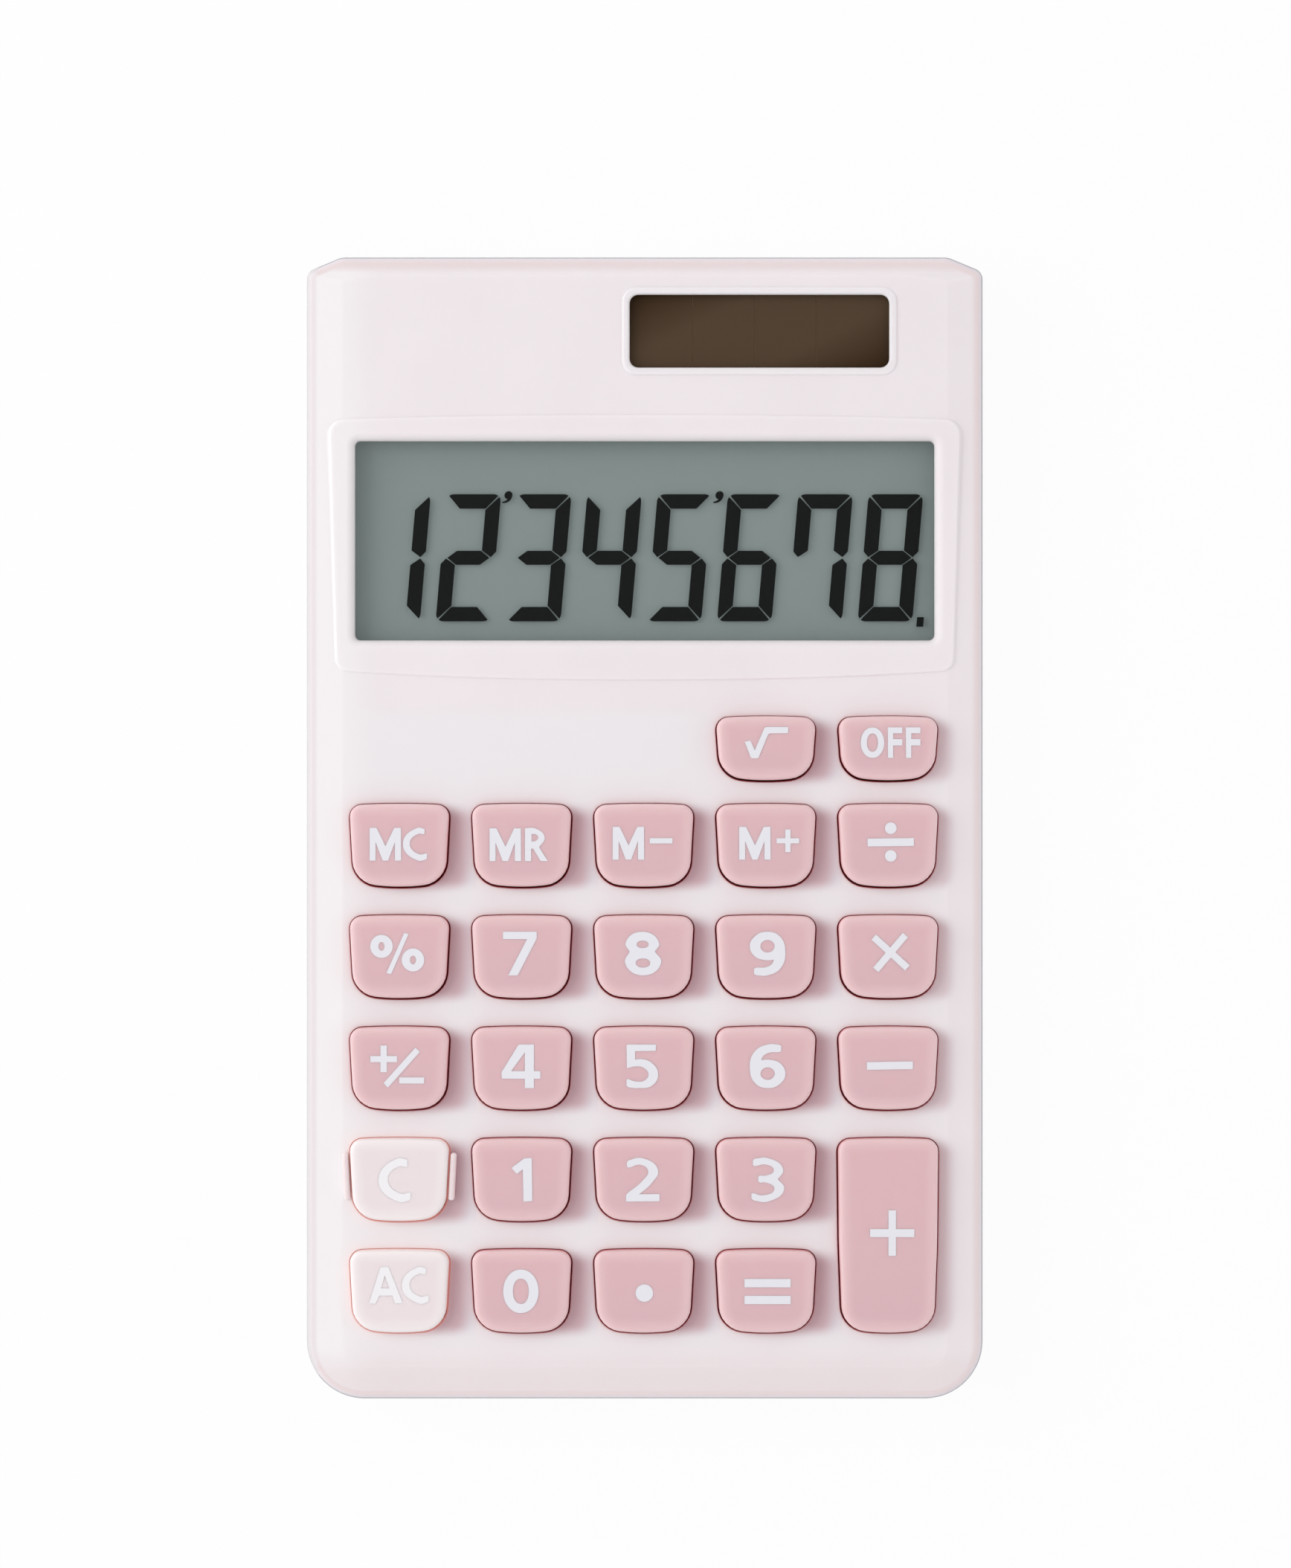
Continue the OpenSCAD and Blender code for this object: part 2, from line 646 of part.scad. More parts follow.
// A hollow cap with a stem onto each dome, and lugs that stop it leaving its opening
module keycap(key) {
    tall = key[3] == "tall";
    crown_r = key_crown_r[tall ? 1 : 0];
    crown_z = face_z + key_proud;
    skirt_z = ceiling_z - key_skirt;
    length = key_length(key);
    color(key[3] == "pale" ? pale_key_colour : key_colour) at(key_place(key), 0) {
        difference() {
            union() {
                intersection() {
                    translate([0, 0, skirt_z]) linear_extrude(crown_z - skirt_z + 1) key_outline(key);
                    translate([0, 0, crown_z - crown_r]) sphere(r = crown_r, $fn = tall ? 240 : 160);
                }
                translate([-key_w / 2 - key_lug.x, -key_lug.y / 2, skirt_z])
                    cube([key_w + 2 * key_lug.x, key_lug.y, key_lug.z]);
            }
            translate([0, 0, skirt_z - 1])
                linear_extrude(crown_z - key_roof - skirt_z + 1 - key_sag(length))
                    polygon(rounded(key_corners(key_w, length, -key_wall, tall)));
        }
        for (dy = dome_offsets(key)) translate([0, dy, dome_top + stem_gap])
            cylinder(r = stem_r, h = crown_z - key_roof - dome_top - stem_gap);
    }
}

// ---- Power ----

module button_cell() color("silver") at(cell_place, cell_z) {
    cylinder(r = cell_r, h = cell_h - 0.35);
    translate([0, 0, cell_h - 0.36]) cylinder(r = cell_r - 1.2, h = 0.36);
}

// Sprung leaf against the cell's side, with a solder tag
module cell_contact_plus() color("gold") at(cell_place + [cell_r + 0.05, -4], bay_floor_z + 0.25) {
    rotate(-6) cube([0.3, 3, 2.6]);
    translate([0.2, 0, 2.3]) cube([2.2, 3, 0.3]);
}

// Sprung leaf over the cell's cap, with a solder tag
module cell_contact_minus() color("gold") at(cell_place - [0, 3.4], cell_z + cell_h + 0.02) {
    translate([-7.6, 0, 0.3]) cube([10.6, 2.8, 0.3]);
    translate([0, 1.4, 0]) cylinder(r = 1, h = 0.4);
    translate([-7.6, -3, 0.3]) cube([1.8, 3.2, 0.3]);
}

module battery_cover() color(shell_colour) difference() {
    union() {
        at(cover_place, back_z)
            linear_extrude(cover_t) polygon(rounded_box(cover_size.x, cover_size.y, 1.1));
        at(cover_place - [cover_size.x / 2 + 1, 2], back_z + 0.55) cube([2, 4, 0.45]);
    }
    at(cover_screw_place, back_z - 1) {
        cylinder(r = cover_screw[1] + 0.15, h = 1.6);
        cylinder(r = cover_screw[0] + 0.2, h = 4);
    }
}

module battery_cover_screw() color("silver") at(cover_screw_place, back_z + 0.6) screw(cover_screw, 3);

// ---- Leads ----

// A point on the smooth curve through a route, at a share u of the way from point i to the next
function on_curve(route, i, u) =
    let (
        n = len(route) - 1,
        p0 = route[max(i - 1, 0)], p1 = route[i], p2 = route[min(i + 1, n)], p3 = route[min(i + 2, n)]
    )
    p1 + 0.5 * u * (p2 - p0 + u * (2 * p0 - 5 * p1 + 4 * p2 - p3 + u * (3 * p1 - p0 - 3 * p2 + p3)));

lead_steps = 3;
lead_sides = 8;

function lead_line(route) = concat(
    [for (i = [0 : len(route) - 2]) for (s = [0 : lead_steps - 1]) on_curve(route, i, s / lead_steps)],
    [route[len(route) - 1]]
);

function lead_ring(line, i) =
    let (
        along = unit(line[min(i + 1, len(line) - 1)] - line[max(i - 1, 0)]),
        across = unit(cross(along, [1, 0, 0])),
        up = cross(across, along)
    )
    [for (s = [0 : lead_sides - 1])
        let (angle = 360 * s / lead_sides)
        line[i] + lead_r * (cos(angle) * across + sin(angle) * up)];

// A round lead swept along its route
module lead(route) {
    line = lead_line(route);
    last = len(line) - 1;
    polyhedron(
        points = [for (i = [0 : last]) each lead_ring(line, i)],
        faces = concat(
            [[for (s = [0 : lead_sides - 1]) s]],
            [for (i = [0 : last - 1]) for (s = [0 : lead_sides - 1])
                let (t = (s + 1) % lead_sides, low = i * lead_sides, high = low + lead_sides)
                [low + s, high + s, high + t, low + t]],
            [[for (s = [lead_sides - 1 : -1 : 0]) last * lead_sides + s]]
        )
    );
}

module solar_lead_plus() color("firebrick") lead(SOLAR_PLUS_ROUTE);
module solar_lead_minus() color([0.1, 0.1, 0.1]) lead(SOLAR_MINUS_ROUTE);
module cell_lead_plus() color("firebrick") lead(CELL_PLUS_ROUTE);
module cell_lead_minus() color([0.1, 0.1, 0.1]) lead(CELL_MINUS_ROUTE);

front_casing();
rear_casing();
rubber_feet();
case_screws();
display_window();
display_gasket();
lcd_front_glass();
lcd_segments();
lcd_rear_glass();
lcd_reflector();
display_pad();
display_ribbon();
solar_glass();
solar_cells();
solar_backing();
circuit_board();
contact_pads();
chip_cap();
capacitors();
resistors();
board_screws();
keypad_mat();
contact_pills();
button_cell();
cell_contact_plus();
cell_contact_minus();
battery_cover();
battery_cover_screw();
solar_lead_plus();
solar_lead_minus();
cell_lead_plus();
cell_lead_minus();
for (key = KEYS) keycap(key);
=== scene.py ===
import math
from contextlib import contextmanager

import bmesh
import bpy
from bpy.props import FloatProperty, FloatVectorProperty, PointerProperty
from mathutils import Matrix, Vector


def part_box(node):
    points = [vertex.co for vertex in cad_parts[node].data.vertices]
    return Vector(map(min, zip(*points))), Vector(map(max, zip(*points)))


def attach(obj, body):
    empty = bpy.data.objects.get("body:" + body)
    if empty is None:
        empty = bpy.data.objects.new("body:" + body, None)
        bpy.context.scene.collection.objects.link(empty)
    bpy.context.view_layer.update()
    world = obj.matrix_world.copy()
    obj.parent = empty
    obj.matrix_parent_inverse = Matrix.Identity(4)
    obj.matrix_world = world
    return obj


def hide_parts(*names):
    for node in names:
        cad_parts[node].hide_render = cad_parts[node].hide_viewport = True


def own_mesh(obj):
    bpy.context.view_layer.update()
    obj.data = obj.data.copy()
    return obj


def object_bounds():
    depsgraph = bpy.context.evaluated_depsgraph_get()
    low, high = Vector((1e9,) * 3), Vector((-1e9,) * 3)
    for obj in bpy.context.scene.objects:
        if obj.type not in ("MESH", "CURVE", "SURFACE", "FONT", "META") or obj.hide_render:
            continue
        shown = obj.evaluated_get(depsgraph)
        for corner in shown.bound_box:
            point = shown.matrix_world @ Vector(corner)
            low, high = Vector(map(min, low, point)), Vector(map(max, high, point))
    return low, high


bl_info = {
    "name": "Desk calculator",
    "version": (1, 0, 0),
    "blender": (4, 5, 0),
    "location": "View3D > Sidebar > Calculator",
    "description": "Models the casings, keys and finishes of a desk calculator round its packed frame",
    "category": "Add Mesh",
}

MM = 0.001
NEAR = 1e-6

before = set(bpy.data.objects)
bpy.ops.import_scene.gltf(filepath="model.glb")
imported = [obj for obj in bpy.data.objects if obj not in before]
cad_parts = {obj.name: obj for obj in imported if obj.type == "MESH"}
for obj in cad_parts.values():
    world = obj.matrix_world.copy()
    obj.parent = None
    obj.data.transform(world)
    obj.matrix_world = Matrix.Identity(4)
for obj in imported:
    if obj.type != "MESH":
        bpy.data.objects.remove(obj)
CAD_LOW, CAD_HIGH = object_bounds()


def box_middle(name):
    """The middle of a node's box."""
    low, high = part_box(name)
    return (low + high) / 2


# Places and sizes that the frame gives
FACE_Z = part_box("solar_glass")[1].z + 0.1 * MM
WINDOW_LOW, WINDOW_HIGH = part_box("display_window")
SPLIT_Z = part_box("rear_casing")[1].z - 0.8 * MM
CEILING_Z = FACE_Z - 1.5 * MM
BACK_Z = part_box("battery_cover")[0].z
HALF_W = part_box("rear_casing")[1].x
HALF_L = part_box("rear_casing")[1].y
DISPLAY_Y = (WINDOW_LOW.y + WINDOW_HIGH.y) / 2
SOLAR = box_middle("solar_glass")
CROWN_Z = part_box("key_5")[1].z
SKIRT_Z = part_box("key_5")[0].z + 0.65 * MM
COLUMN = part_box("key_6")[0].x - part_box("key_5")[0].x
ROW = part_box("key_5")[0].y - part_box("key_2")[0].y
GRID_X = (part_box("key_5")[0].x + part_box("key_5")[1].x) / 2
GRID_Y = (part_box("key_5")[0].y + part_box("key_5")[1].y) / 2
SHORT_Y = (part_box("key_off")[0].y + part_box("key_off")[1].y) / 2
TALL_Y = (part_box("key_plus")[0].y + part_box("key_plus")[1].y) / 2
KEYS = [name for name in sorted(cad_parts) if name.startswith("key_")]
PALE_KEYS = ("key_clear", "key_all_clear")

# Where the sloping band ends and the casing's edge begins to turn down
EDGE_Z = FACE_Z - 0.4 * MM
# Where the shade of one key gives way to that of the next, left of the next key's middle
SHADE_EDGE = 4.7 * MM
# Half the length of each kind of key's shade
SHADE_HALF = {"plain": 4.2 * MM, "tall": 9.95 * MM, "short": 3.2 * MM}
# How much smaller than its place the solar cell's glass is on each side
PANE_TRIM = 0.35 * MM
# How much narrower than its glass the solar cell's opening is
SOLAR_LAP = 1.6 * MM
BLACK = (0, 0, 0)


# ---- Sizes and colours ----


def length(name, description, millimetres):
    return FloatProperty(
        name=name, description=description, default=millimetres * MM, unit="LENGTH", precision=5
    )


def colour(name, description, red, green, blue):
    """A colour given as it looks on a screen, from 0 to 255."""
    return FloatVectorProperty(
        name=name,
        description=description,
        default=tuple(linear(part / 255) for part in (red, green, blue)),
        subtype="COLOR",
        min=0,
        max=1,
    )


def linear(part):
    return part / 12.92 if part <= 0.04045 else ((part + 0.055) / 1.055) ** 2.4


class CasingSizes(bpy.types.PropertyGroup):
    edge_round: length("Edge round", "Rounding where the side walls meet the top face", 0.8)
    slope_width: length("Slope width", "Width of the sloping band along the sides", 3.8)
    slope_rise: length("Slope rise", "How far that band rises to the flat face", 0.4)
    end_slope: length("End slope", "Width of the band at the display end", 2.0)
    front_corner: length("Front corner", "Radius of the two corners nearest the user", 6.0)
    wall: length("Wall", "Thickness of the side wall", 1.5)
    parting: length("Parting line", "Small round on both lips of the line where the casings meet", 0.12)
    rear_round: length("Rear edge round", "Rounding round the back of the rear casing", 1.0)
    bezel_height: length("Bezel height", "How far the display's frame stands above the face", 0.15)
    bezel_edge: length("Bezel edge", "Width over which the display frame rises from the face", 0.5)
    display_round: length("Display round", "Rounding inside the display's frame", 1.05)
    solar_rim: length("Solar rim", "Width of the raised rim round the solar cell", 1.0)
    solar_rim_height: length("Solar rim height", "How far that rim stands above the face", 0.18)
    hole_round: length("Hole round", "Rounding of the rim of each key's opening", 0.05)


class KeySizes(bpy.types.PropertyGroup):
    width: length("Key width", "Width of a key at its widest", 10.35)
    taper: length("Taper", "How much narrower a key is on each side at its user's end", 0.45)
    gap: length("Gap", "Gap between a key and its opening's rim", 0.15)
    wall: length("Key wall", "Thickness of a key's side wall", 1.1)
    legend: length("Legend thickness", "How thick the printed legends are", 0.012)


class Colours(bpy.types.PropertyGroup):
    shell: colour("Casing", "The moulded casings", 240, 234, 236)
    # Painted light: the casing's left side is painted paler
    left_painted_light: colour("Casing, left", "The casing's paler left side", 242, 239, 240)
    shell_keypad: colour("Casing round the keys", "The casing between the rows of keys", 238, 235, 237)
    # Painted shade beside the keys: darkest and pinkest at a key, paler half way to the next
    painted_shade_beside: colour("Casing beside a key", "Where a key tints the casing", 214, 188, 194)
    painted_shade_between: colour("Casing between keys", "Half way between a key and the next", 228, 226, 230)
    # Painted shade on the casing's edges: on the rounded edges, along the fold above them, both again on
    # the left, and the grey line down the sides
    turned_edge_painted_shade: colour("Casing edge", "The rounded edges of the front casing", 231, 225, 229)
    fold: colour("Fold", "The fold above the rounded edges", 233, 221, 222)
    left_fold_painted_shade: colour("Left fold", "The same fold on the left", 232, 226, 228)
    left_edge_painted_shade: colour("Left edge", "The rounded edge on the left", 222, 218, 219)
    outline: colour("Outline", "The sides of the front casing", 178, 178, 182)
    # Painted shade deep in the pink keys' openings, and painted light in the pale keys' openings
    opening: colour("Opening", "Inside the openings of the pink keys", 225, 70, 74)
    pale_opening_painted_light: colour("Pale opening", "Inside the openings of the pale keys", 246, 196, 188)
    # Painted light on the pink keys: crowns a little lighter at the far end and paler round the rim, with
    # painted shade on their side walls
    key: colour("Pink keys, far end", "The crowns of the pink keys, towards the display", 227, 192, 196)
    key_near_painted_shade: colour("Pink keys, near end", "The crowns of the pink keys, towards the user", 222, 190, 195)
    key_rim_painted_light: colour("Key rim", "The rounded rim of a pink key", 231, 202, 204)
    key_wall_painted_shade: colour("Key wall", "The side walls of a pink key", 205, 92, 98)
    pale: colour("Pale key", "The flat of a pale key", 238, 228, 230)
    # Painted light on the pale keys: paler round the rim, and on their side walls, which also give it off
    pale_rim_painted_light: colour("Pale key rim", "The rounded rim of a pale key", 242, 235, 235)
    pale_wall_painted_light: colour("Pale key wall", "The side walls of a pale key", 248, 204, 196)
    legend: colour("Legend", "The print on the keys", 231, 231, 237)
    pale_legend: colour("Pale key legend", "The print on the pale keys", 241, 240, 242)
    # The display's colour, which its film also gives off as painted light
    reflector: colour("Display", "The display behind its figures", 112, 123, 121)
    ink: colour("Figures", "The dark figures of the display", 20, 22, 21)
    solar: colour("Solar film", "The lit part of the solar cell", 83, 66, 50)
    solar_dark: colour("Solar film, dark", "The shaded corners of the solar cell", 46, 26, 0)
    solar_rim: colour("Solar rim", "The raised rim round the solar cell", 240, 235, 238)


# ---- Modelling ----


def activate(piece):
    bpy.ops.object.select_all(action="DESELECT")
    piece.select_set(True)
    bpy.context.view_layer.objects.active = piece


@contextmanager
def editing(piece):
    """Opens a piece in edit mode with nothing selected, and closes it again."""
    activate(piece)
    bpy.ops.object.mode_set(mode="EDIT")
    bpy.ops.mesh.select_all(action="DESELECT")
    yield
    bpy.ops.object.mode_set(mode="OBJECT")


def pick(piece, kind, test):
    """Selects the vertices, edges or faces that pass the test, and nothing else. Returns how many."""
    bpy.ops.mesh.select_all(action="DESELECT")
    bpy.ops.mesh.select_mode(type=kind)
    mesh = bmesh.from_edit_mesh(piece.data)
    parts = {"VERT": mesh.verts, "EDGE": mesh.edges, "FACE": mesh.faces}[kind]
    found = [part for part in parts if test(part)]
    for part in found:
        part.select_set(True)
    mesh.select_flush_mode()
    bmesh.update_edit_mesh(piece.data)
    return len(found)


def middle(part):
    return sum((v.co for v in part.verts), Vector()) / len(part.verts)


def level(part, z):
    """Whether a vertex, edge or face lies flat at a height."""
    verts = [part] if isinstance(part, bmesh.types.BMVert) else part.verts
    return all(abs(v.co.z - z) < NEAR for v in verts)


def shift(x, y, z):
    bpy.ops.transform.translate(value=(x, y, z))


# About how long each straight piece of a rounded corner is
ARC_STEP = 0.35 * MM


def corner_reach(before, corner, after, radius):
    """How far along its edges a corner's rounding of this radius begins."""
    to_before, to_after = (before - corner).normalized(), (after - corner).normalized()
    return radius / math.tan(to_before.angle(to_after) / 2)


def plate(name, corners, z):
    """A flat face at a height. Each corner is x, y and a radius, in order round the outline to the left."""
    count = len(corners)
    bpy.ops.object.select_all(action="DESELECT")
    bpy.ops.mesh.primitive_circle_add(vertices=count, radius=MM, fill_type="NGON")
    piece = bpy.context.object
    piece.name = name
    points = [Vector((x, y, z)) for x, y, _ in corners]
    with editing(piece):
        for i, point in enumerate(points):
            pick(piece, "VERT", lambda v: v.index == i)
            mesh = bmesh.from_edit_mesh(piece.data)
            mesh.verts.ensure_lookup_table()
            shift(*(point - mesh.verts[i].co))
        for i, (point, (_, _, radius)) in enumerate(zip(points, corners)):
            if radius == 0:
                continue
            reach = corner_reach(points[i - 1], point, points[(i + 1) % count], radius)
            pick(piece, "VERT", lambda v: (v.co - point).length < NEAR)
            segments = max(6, min(16, round(reach / ARC_STEP)))
            bpy.ops.mesh.bevel(offset=reach, segments=segments, affect="VERTICES")
    return piece


def pull(piece, steps, down=False):
    """Pulls a plate out into a solid. A step is how far the outline comes in and how far the face moves."""
    with editing(piece):
        pick(piece, "FACE", lambda f: True)
        if down:
            bpy.ops.mesh.flip_normals()
        for inwards, outwards in steps:
            if inwards == 0:
                distance = -outwards if down else outwards
                bpy.ops.mesh.extrude_region_move(TRANSFORM_OT_translate={"value": (0, 0, distance)})
            else:
                bpy.ops.mesh.inset(thickness=inwards, depth=outwards)
    return piece


def roll_over(radius, count, height=None):
    """Steps that carry a wall round an edge into a flat top."""
    height = radius if height is None else height
    turn = [math.pi / 2 * i / count for i in range(count + 1)]
    return [
        (radius * (math.cos(a) - math.cos(b)), height * (math.sin(b) - math.sin(a)))
        for a, b in zip(turn, turn[1:])
    ]


def swell(width, height, count):
    """Steps that carry a wall up a gentle slope, soft at its foot and at its top."""
    rise = [(1 - math.cos(math.pi * i / count)) / 2 for i in range(count + 1)]
    return [(width / count, height * (after - before)) for before, after in zip(rise, rise[1:])]


def roll_under(radius, count):
    """Steps that carry a flat top round an edge into a wall."""
    return [(outwards, inwards) for inwards, outwards in roll_over(radius, count)]


def close_up(piece):
    """Merges what coincides and turns every face of a closed solid outwards."""
    with editing(piece):
        bpy.ops.mesh.select_all(action="SELECT")
        bpy.ops.mesh.remove_doubles(threshold=0.002 * MM)
        bpy.ops.mesh.normals_make_consistent(inside=False)
    return piece


def solid(name, corners, z, steps, down=False):
    """A closed solid, pulled out from a plate."""
    return close_up(pull(plate(name, corners, z), steps, down))


def combine(piece, tool, operation):
    """Adds, cuts or keeps the tool's solid, and removes the tool."""
    change = piece.modifiers.new("Combine", "BOOLEAN")
    change.operation = operation
    change.solver = "EXACT"
    change.object = tool
    activate(piece)
    bpy.ops.object.modifier_apply(modifier=change.name)
    bpy.data.objects.remove(tool)
    if not piece.data.polygons:
        raise RuntimeError(f"{piece.name} is empty after a boolean")
    return piece


def join(pieces):
    """One object from several that don't touch."""
    bpy.ops.object.select_all(action="DESELECT")
    for piece in pieces:
        piece.select_set(True)
    bpy.context.view_layer.objects.active = pieces[0]
    if len(pieces) > 1:
        bpy.ops.object.join()
    return pieces[0]


def copy_to(piece, name, x, y, z=0):
    """A copy with a mesh of its own, which holds its place."""
    twin = bpy.data.objects.new(name, piece.data.copy())
    bpy.context.scene.collection.objects.link(twin)
    twin.data.transform(Matrix.Translation((x, y, z)))
    return twin


def box_corners(x, y, width, height, radius, turn=0):
    """The corners of a rounded box about a point, turned by an angle."""
    spin = Matrix.Rotation(turn, 2)
    signs = ((-1, -1), (1, -1), (1, 1), (-1, 1))
    spots = [spin @ Vector((sx * width / 2, sy * height / 2)) for sx, sy in signs]
    return [(x + spot.x, y + spot.y, radius) for spot in spots]


def circle_corners(x, y, radius, count):
    """The corners of a circle about a point."""
    turns = [2 * math.pi * i / count for i in range(count)]
    return [(x + radius * math.cos(turn), y + radius * math.sin(turn), 0) for turn in turns]


def peg(name, x, y, low, high, radius, sides=32):
    """A round post or a round cutter between two heights."""
    bpy.ops.object.select_all(action="DESELECT")
    bpy.ops.mesh.primitive_cylinder_add(vertices=sides, radius=radius, depth=high - low)
    piece = bpy.context.object
    piece.name = name
    piece.data.transform(Matrix.Translation((x, y, (low + high) / 2)))
    return piece


def smooth(piece, degrees=32):
    """Smooth shading with crisp edges past an angle, and normals that follow the larger faces."""
    activate(piece)
    bpy.ops.object.shade_smooth_by_angle(angle=math.radians(degrees))
    weigh = piece.modifiers.new("Weigh normals", "WEIGHTED_NORMAL")
    weigh.keep_sharp = True
    bpy.ops.object.modifier_apply(modifier=weigh.name)


def settle(piece, body, slot, material, *nodes):
    """Gives a finished piece its material and its place in the frame."""
    piece.data.materials.clear()
    piece.data.materials.append(material)
    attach(piece, body)
    if nodes:
        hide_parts(*nodes)


# ---- Materials ----

# A subsurface radius that is alike for red, green and blue
EVEN = (1.0, 1.0, 1.0)


class Value:
    """A socket that takes part in expressions. Each operator adds a Math node."""

    def __init__(self, finish, socket):
        self.finish = finish
        self.socket = socket

    def __add__(self, other):
        return self.finish.maths("ADD", self, other)

    def __radd__(self, other):
        return self.finish.maths("ADD", other, self)

    def __sub__(self, other):
        return self.finish.maths("SUBTRACT", self, other)

    def __rsub__(self, other):
        return self.finish.maths("SUBTRACT", other, self)

    def __mul__(self, other):
        return self.finish.maths("MULTIPLY", self, other)

    def __rmul__(self, other):
        return self.finish.maths("MULTIPLY", other, self)

    def __truediv__(self, other):
        return self.finish.maths("DIVIDE", self, other)


class Finish:
    """A material under construction."""

    def __init__(self, name):
        self.material = bpy.data.materials.new(name)
        self.material.use_nodes = True
        self.tree = self.material.node_tree
        self.tree.nodes.clear()

    def node(self, kind, inputs=None, output=0, **settings):
        """Adds a node: its settings first, then the values or links of its sockets."""
        made = self.tree.nodes.new(kind)
        for name, value in settings.items():
            setattr(made, name, value)
        for name, value in (inputs or {}).items():
            socket = made.inputs[name]
            if isinstance(value, Value):
                self.tree.links.new(value.socket, socket)
            elif socket.type == "RGBA":
                socket.default_value = (*value, 1)
            else:
                socket.default_value = value
        return Value(self, made.outputs[output])

    def maths(self, operation, first, second=0.0, clamp=False):
        return self.node("ShaderNodeMath", {0: first, 1: second}, operation=operation, use_clamp=clamp)

    def mix(self, factor, first, second):
        """A colour between two others."""
        return self.node("ShaderNodeMix", {0: factor, 6: first, 7: second}, output=2, data_type="RGBA")

    def place(self):
        return self.node("ShaderNodeTexCoord", output="Object")

    def largest(self, first, second):
        return self.maths("MAXIMUM", first, second)

    def axes(self):
        """The three parts of the place, in metres."""
        split = self.node("ShaderNodeSeparateXYZ", {0: self.place()}).socket.node
        return [Value(self, socket) for socket in split.outputs]

    def noise(self, scale, detail=2.0, roughness=0.5):
        """Soft random spots, scale to the metre, from about 0 to 1."""
        inputs = {"Vector": self.place(), "Scale": scale, "Detail": detail, "Roughness": roughness}
        return self.node("ShaderNodeTexNoise", inputs)

    def absolute(self, value):
        return self.maths("ABSOLUTE", value)

    def below(self, value, limit):
        return self.maths("LESS_THAN", value, limit)

    def above(self, value, limit):
        return self.maths("GREATER_THAN", value, limit)

    def corner_distance(self, x, y):
        """How far outside a box a place lies, from how far it is past its sides."""
        x, y = self.largest(x, 0.0), self.largest(y, 0.0)
        return self.maths("SQRT", x * x + y * y)

    def painted_key_shade(self, x, y):
        """How far a place lies past a key's right or near side, and how strongly the painted shade beside
        the key darkens it.
        """
        # Where the place lies in its cell of the grid: from the key's middle across, and from its own row
        cell = self.maths("FRACT", (x - GRID_X + SHADE_EDGE) / COLUMN) * COLUMN - SHADE_EDGE
        along = self.maths("FRACT", (y - GRID_Y) / ROW + 0.5) * ROW - ROW / 2
        # The plus key and the top row have lengths of their own
        tall = self.above(x, GRID_X + 2 * COLUMN - SHADE_EDGE) * self.below(y, TALL_Y + 0.95 * ROW)
        short = self.above(y, SHORT_Y - 4.6 * MM)
        grid = (1 - tall) * (1 - short)
        away = grid * along + tall * (y - TALL_Y) + short * (y - SHORT_Y)
        half = grid * SHADE_HALF["plain"] + tall * SHADE_HALF["tall"] + short * SHADE_HALF["short"]
        corner = 2.0 * MM
        beyond = self.absolute(away + 0.2 * MM) - half + corner
        past = self.corner_distance(cell - 3.0 * MM, beyond) - corner
        window = self.soft(away + half, -0.9 * MM, 0.7 * MM)
        window = window * (1 - self.soft(away - half, -1.6 * MM, 0.3 * MM))
        # The last column's shade is short and weak, and the row with the off key has only one
        last = self.above(x, 2.0 * COLUMN)
        reach = 1 - last * 0.4
        bare = short * self.below(x, GRID_X + COLUMN - SHADE_EDGE)
        inside = self.above(x, GRID_X - 2 * COLUMN - SHADE_EDGE)
        inside = inside * self.below(y, SHORT_Y + 4 * MM) * self.above(y, TALL_Y - ROW)
        fade = self.soft(past, 2 * reach * MM, 4 * reach * MM)
        strength = window * self.soft(cell, -4 * MM, 3 * MM) * (1 - fade)
        return past, strength * (1 - bare) * inside * (1 - 0.5 * last)

    def soft(self, value, low, high):
        """0 up to low, 1 from high, and a smooth curve between them."""
        inputs = {"Value": value, "From Min": low, "From Max": high}
        return self.node("ShaderNodeMapRange", inputs, interpolation_type="SMOOTHSTEP")

    def ramp(self, value, low, high):
        """0 up to low, 1 from high, and even between them."""
        inputs = {"Value": value, "From Min": low, "From Max": high}
        return self.node("ShaderNodeMapRange", inputs)

    def bump(self, height, strength, distance):
        inputs = {"Height": height, "Strength": strength, "Distance": distance}
        return self.node("ShaderNodeBump", inputs)

    def surface(self, inputs):
        """The shader itself, from the names of its sockets."""
        shader = self.node("ShaderNodeBsdfPrincipled", inputs)
        self.node_output(shader)
        return self.material

    def node_output(self, shader):
        made = self.tree.nodes.new("ShaderNodeOutputMaterial")
        self.tree.links.new(shader.socket, made.inputs["Surface"])


def scaled(base, share):
    """A darker or lighter tone of a colour."""
    return tuple(min(1, part * share) for part in base)


def moulded(name, base, roughness=0.42, grain=0.05, detail=None):
    """Matt injection-moulded plastic with a fine spark grain and slight mottling."""
    finish = Finish(name)
    mottle = finish.noise(90, 3)
    tone = finish.mix(finish.ramp(mottle, 0.35, 0.65) * 0.5, base, scaled(base, 0.965))
    # A detail may paint light and shade into the colour, and painted light for the casing to give off
    painted_emission = BLACK
    if detail:
        tone, painted_emission = detail(finish, tone)
    fine = finish.noise(9000, 2, 0.6)
    return finish.surface(
        {
            "Base Color": tone,
            "Roughness": roughness + 0.08 * mottle,
            "Specular IOR Level": 0.2,
            "Subsurface Weight": 1.0,
            "Subsurface Radius": EVEN,
            "Subsurface Scale": 0.4 * MM,
            "Emission Color": painted_emission,
            "Emission Strength": 0.1,
            "Normal": finish.bump(fine, grain, 0.02 * MM),
        }
    )


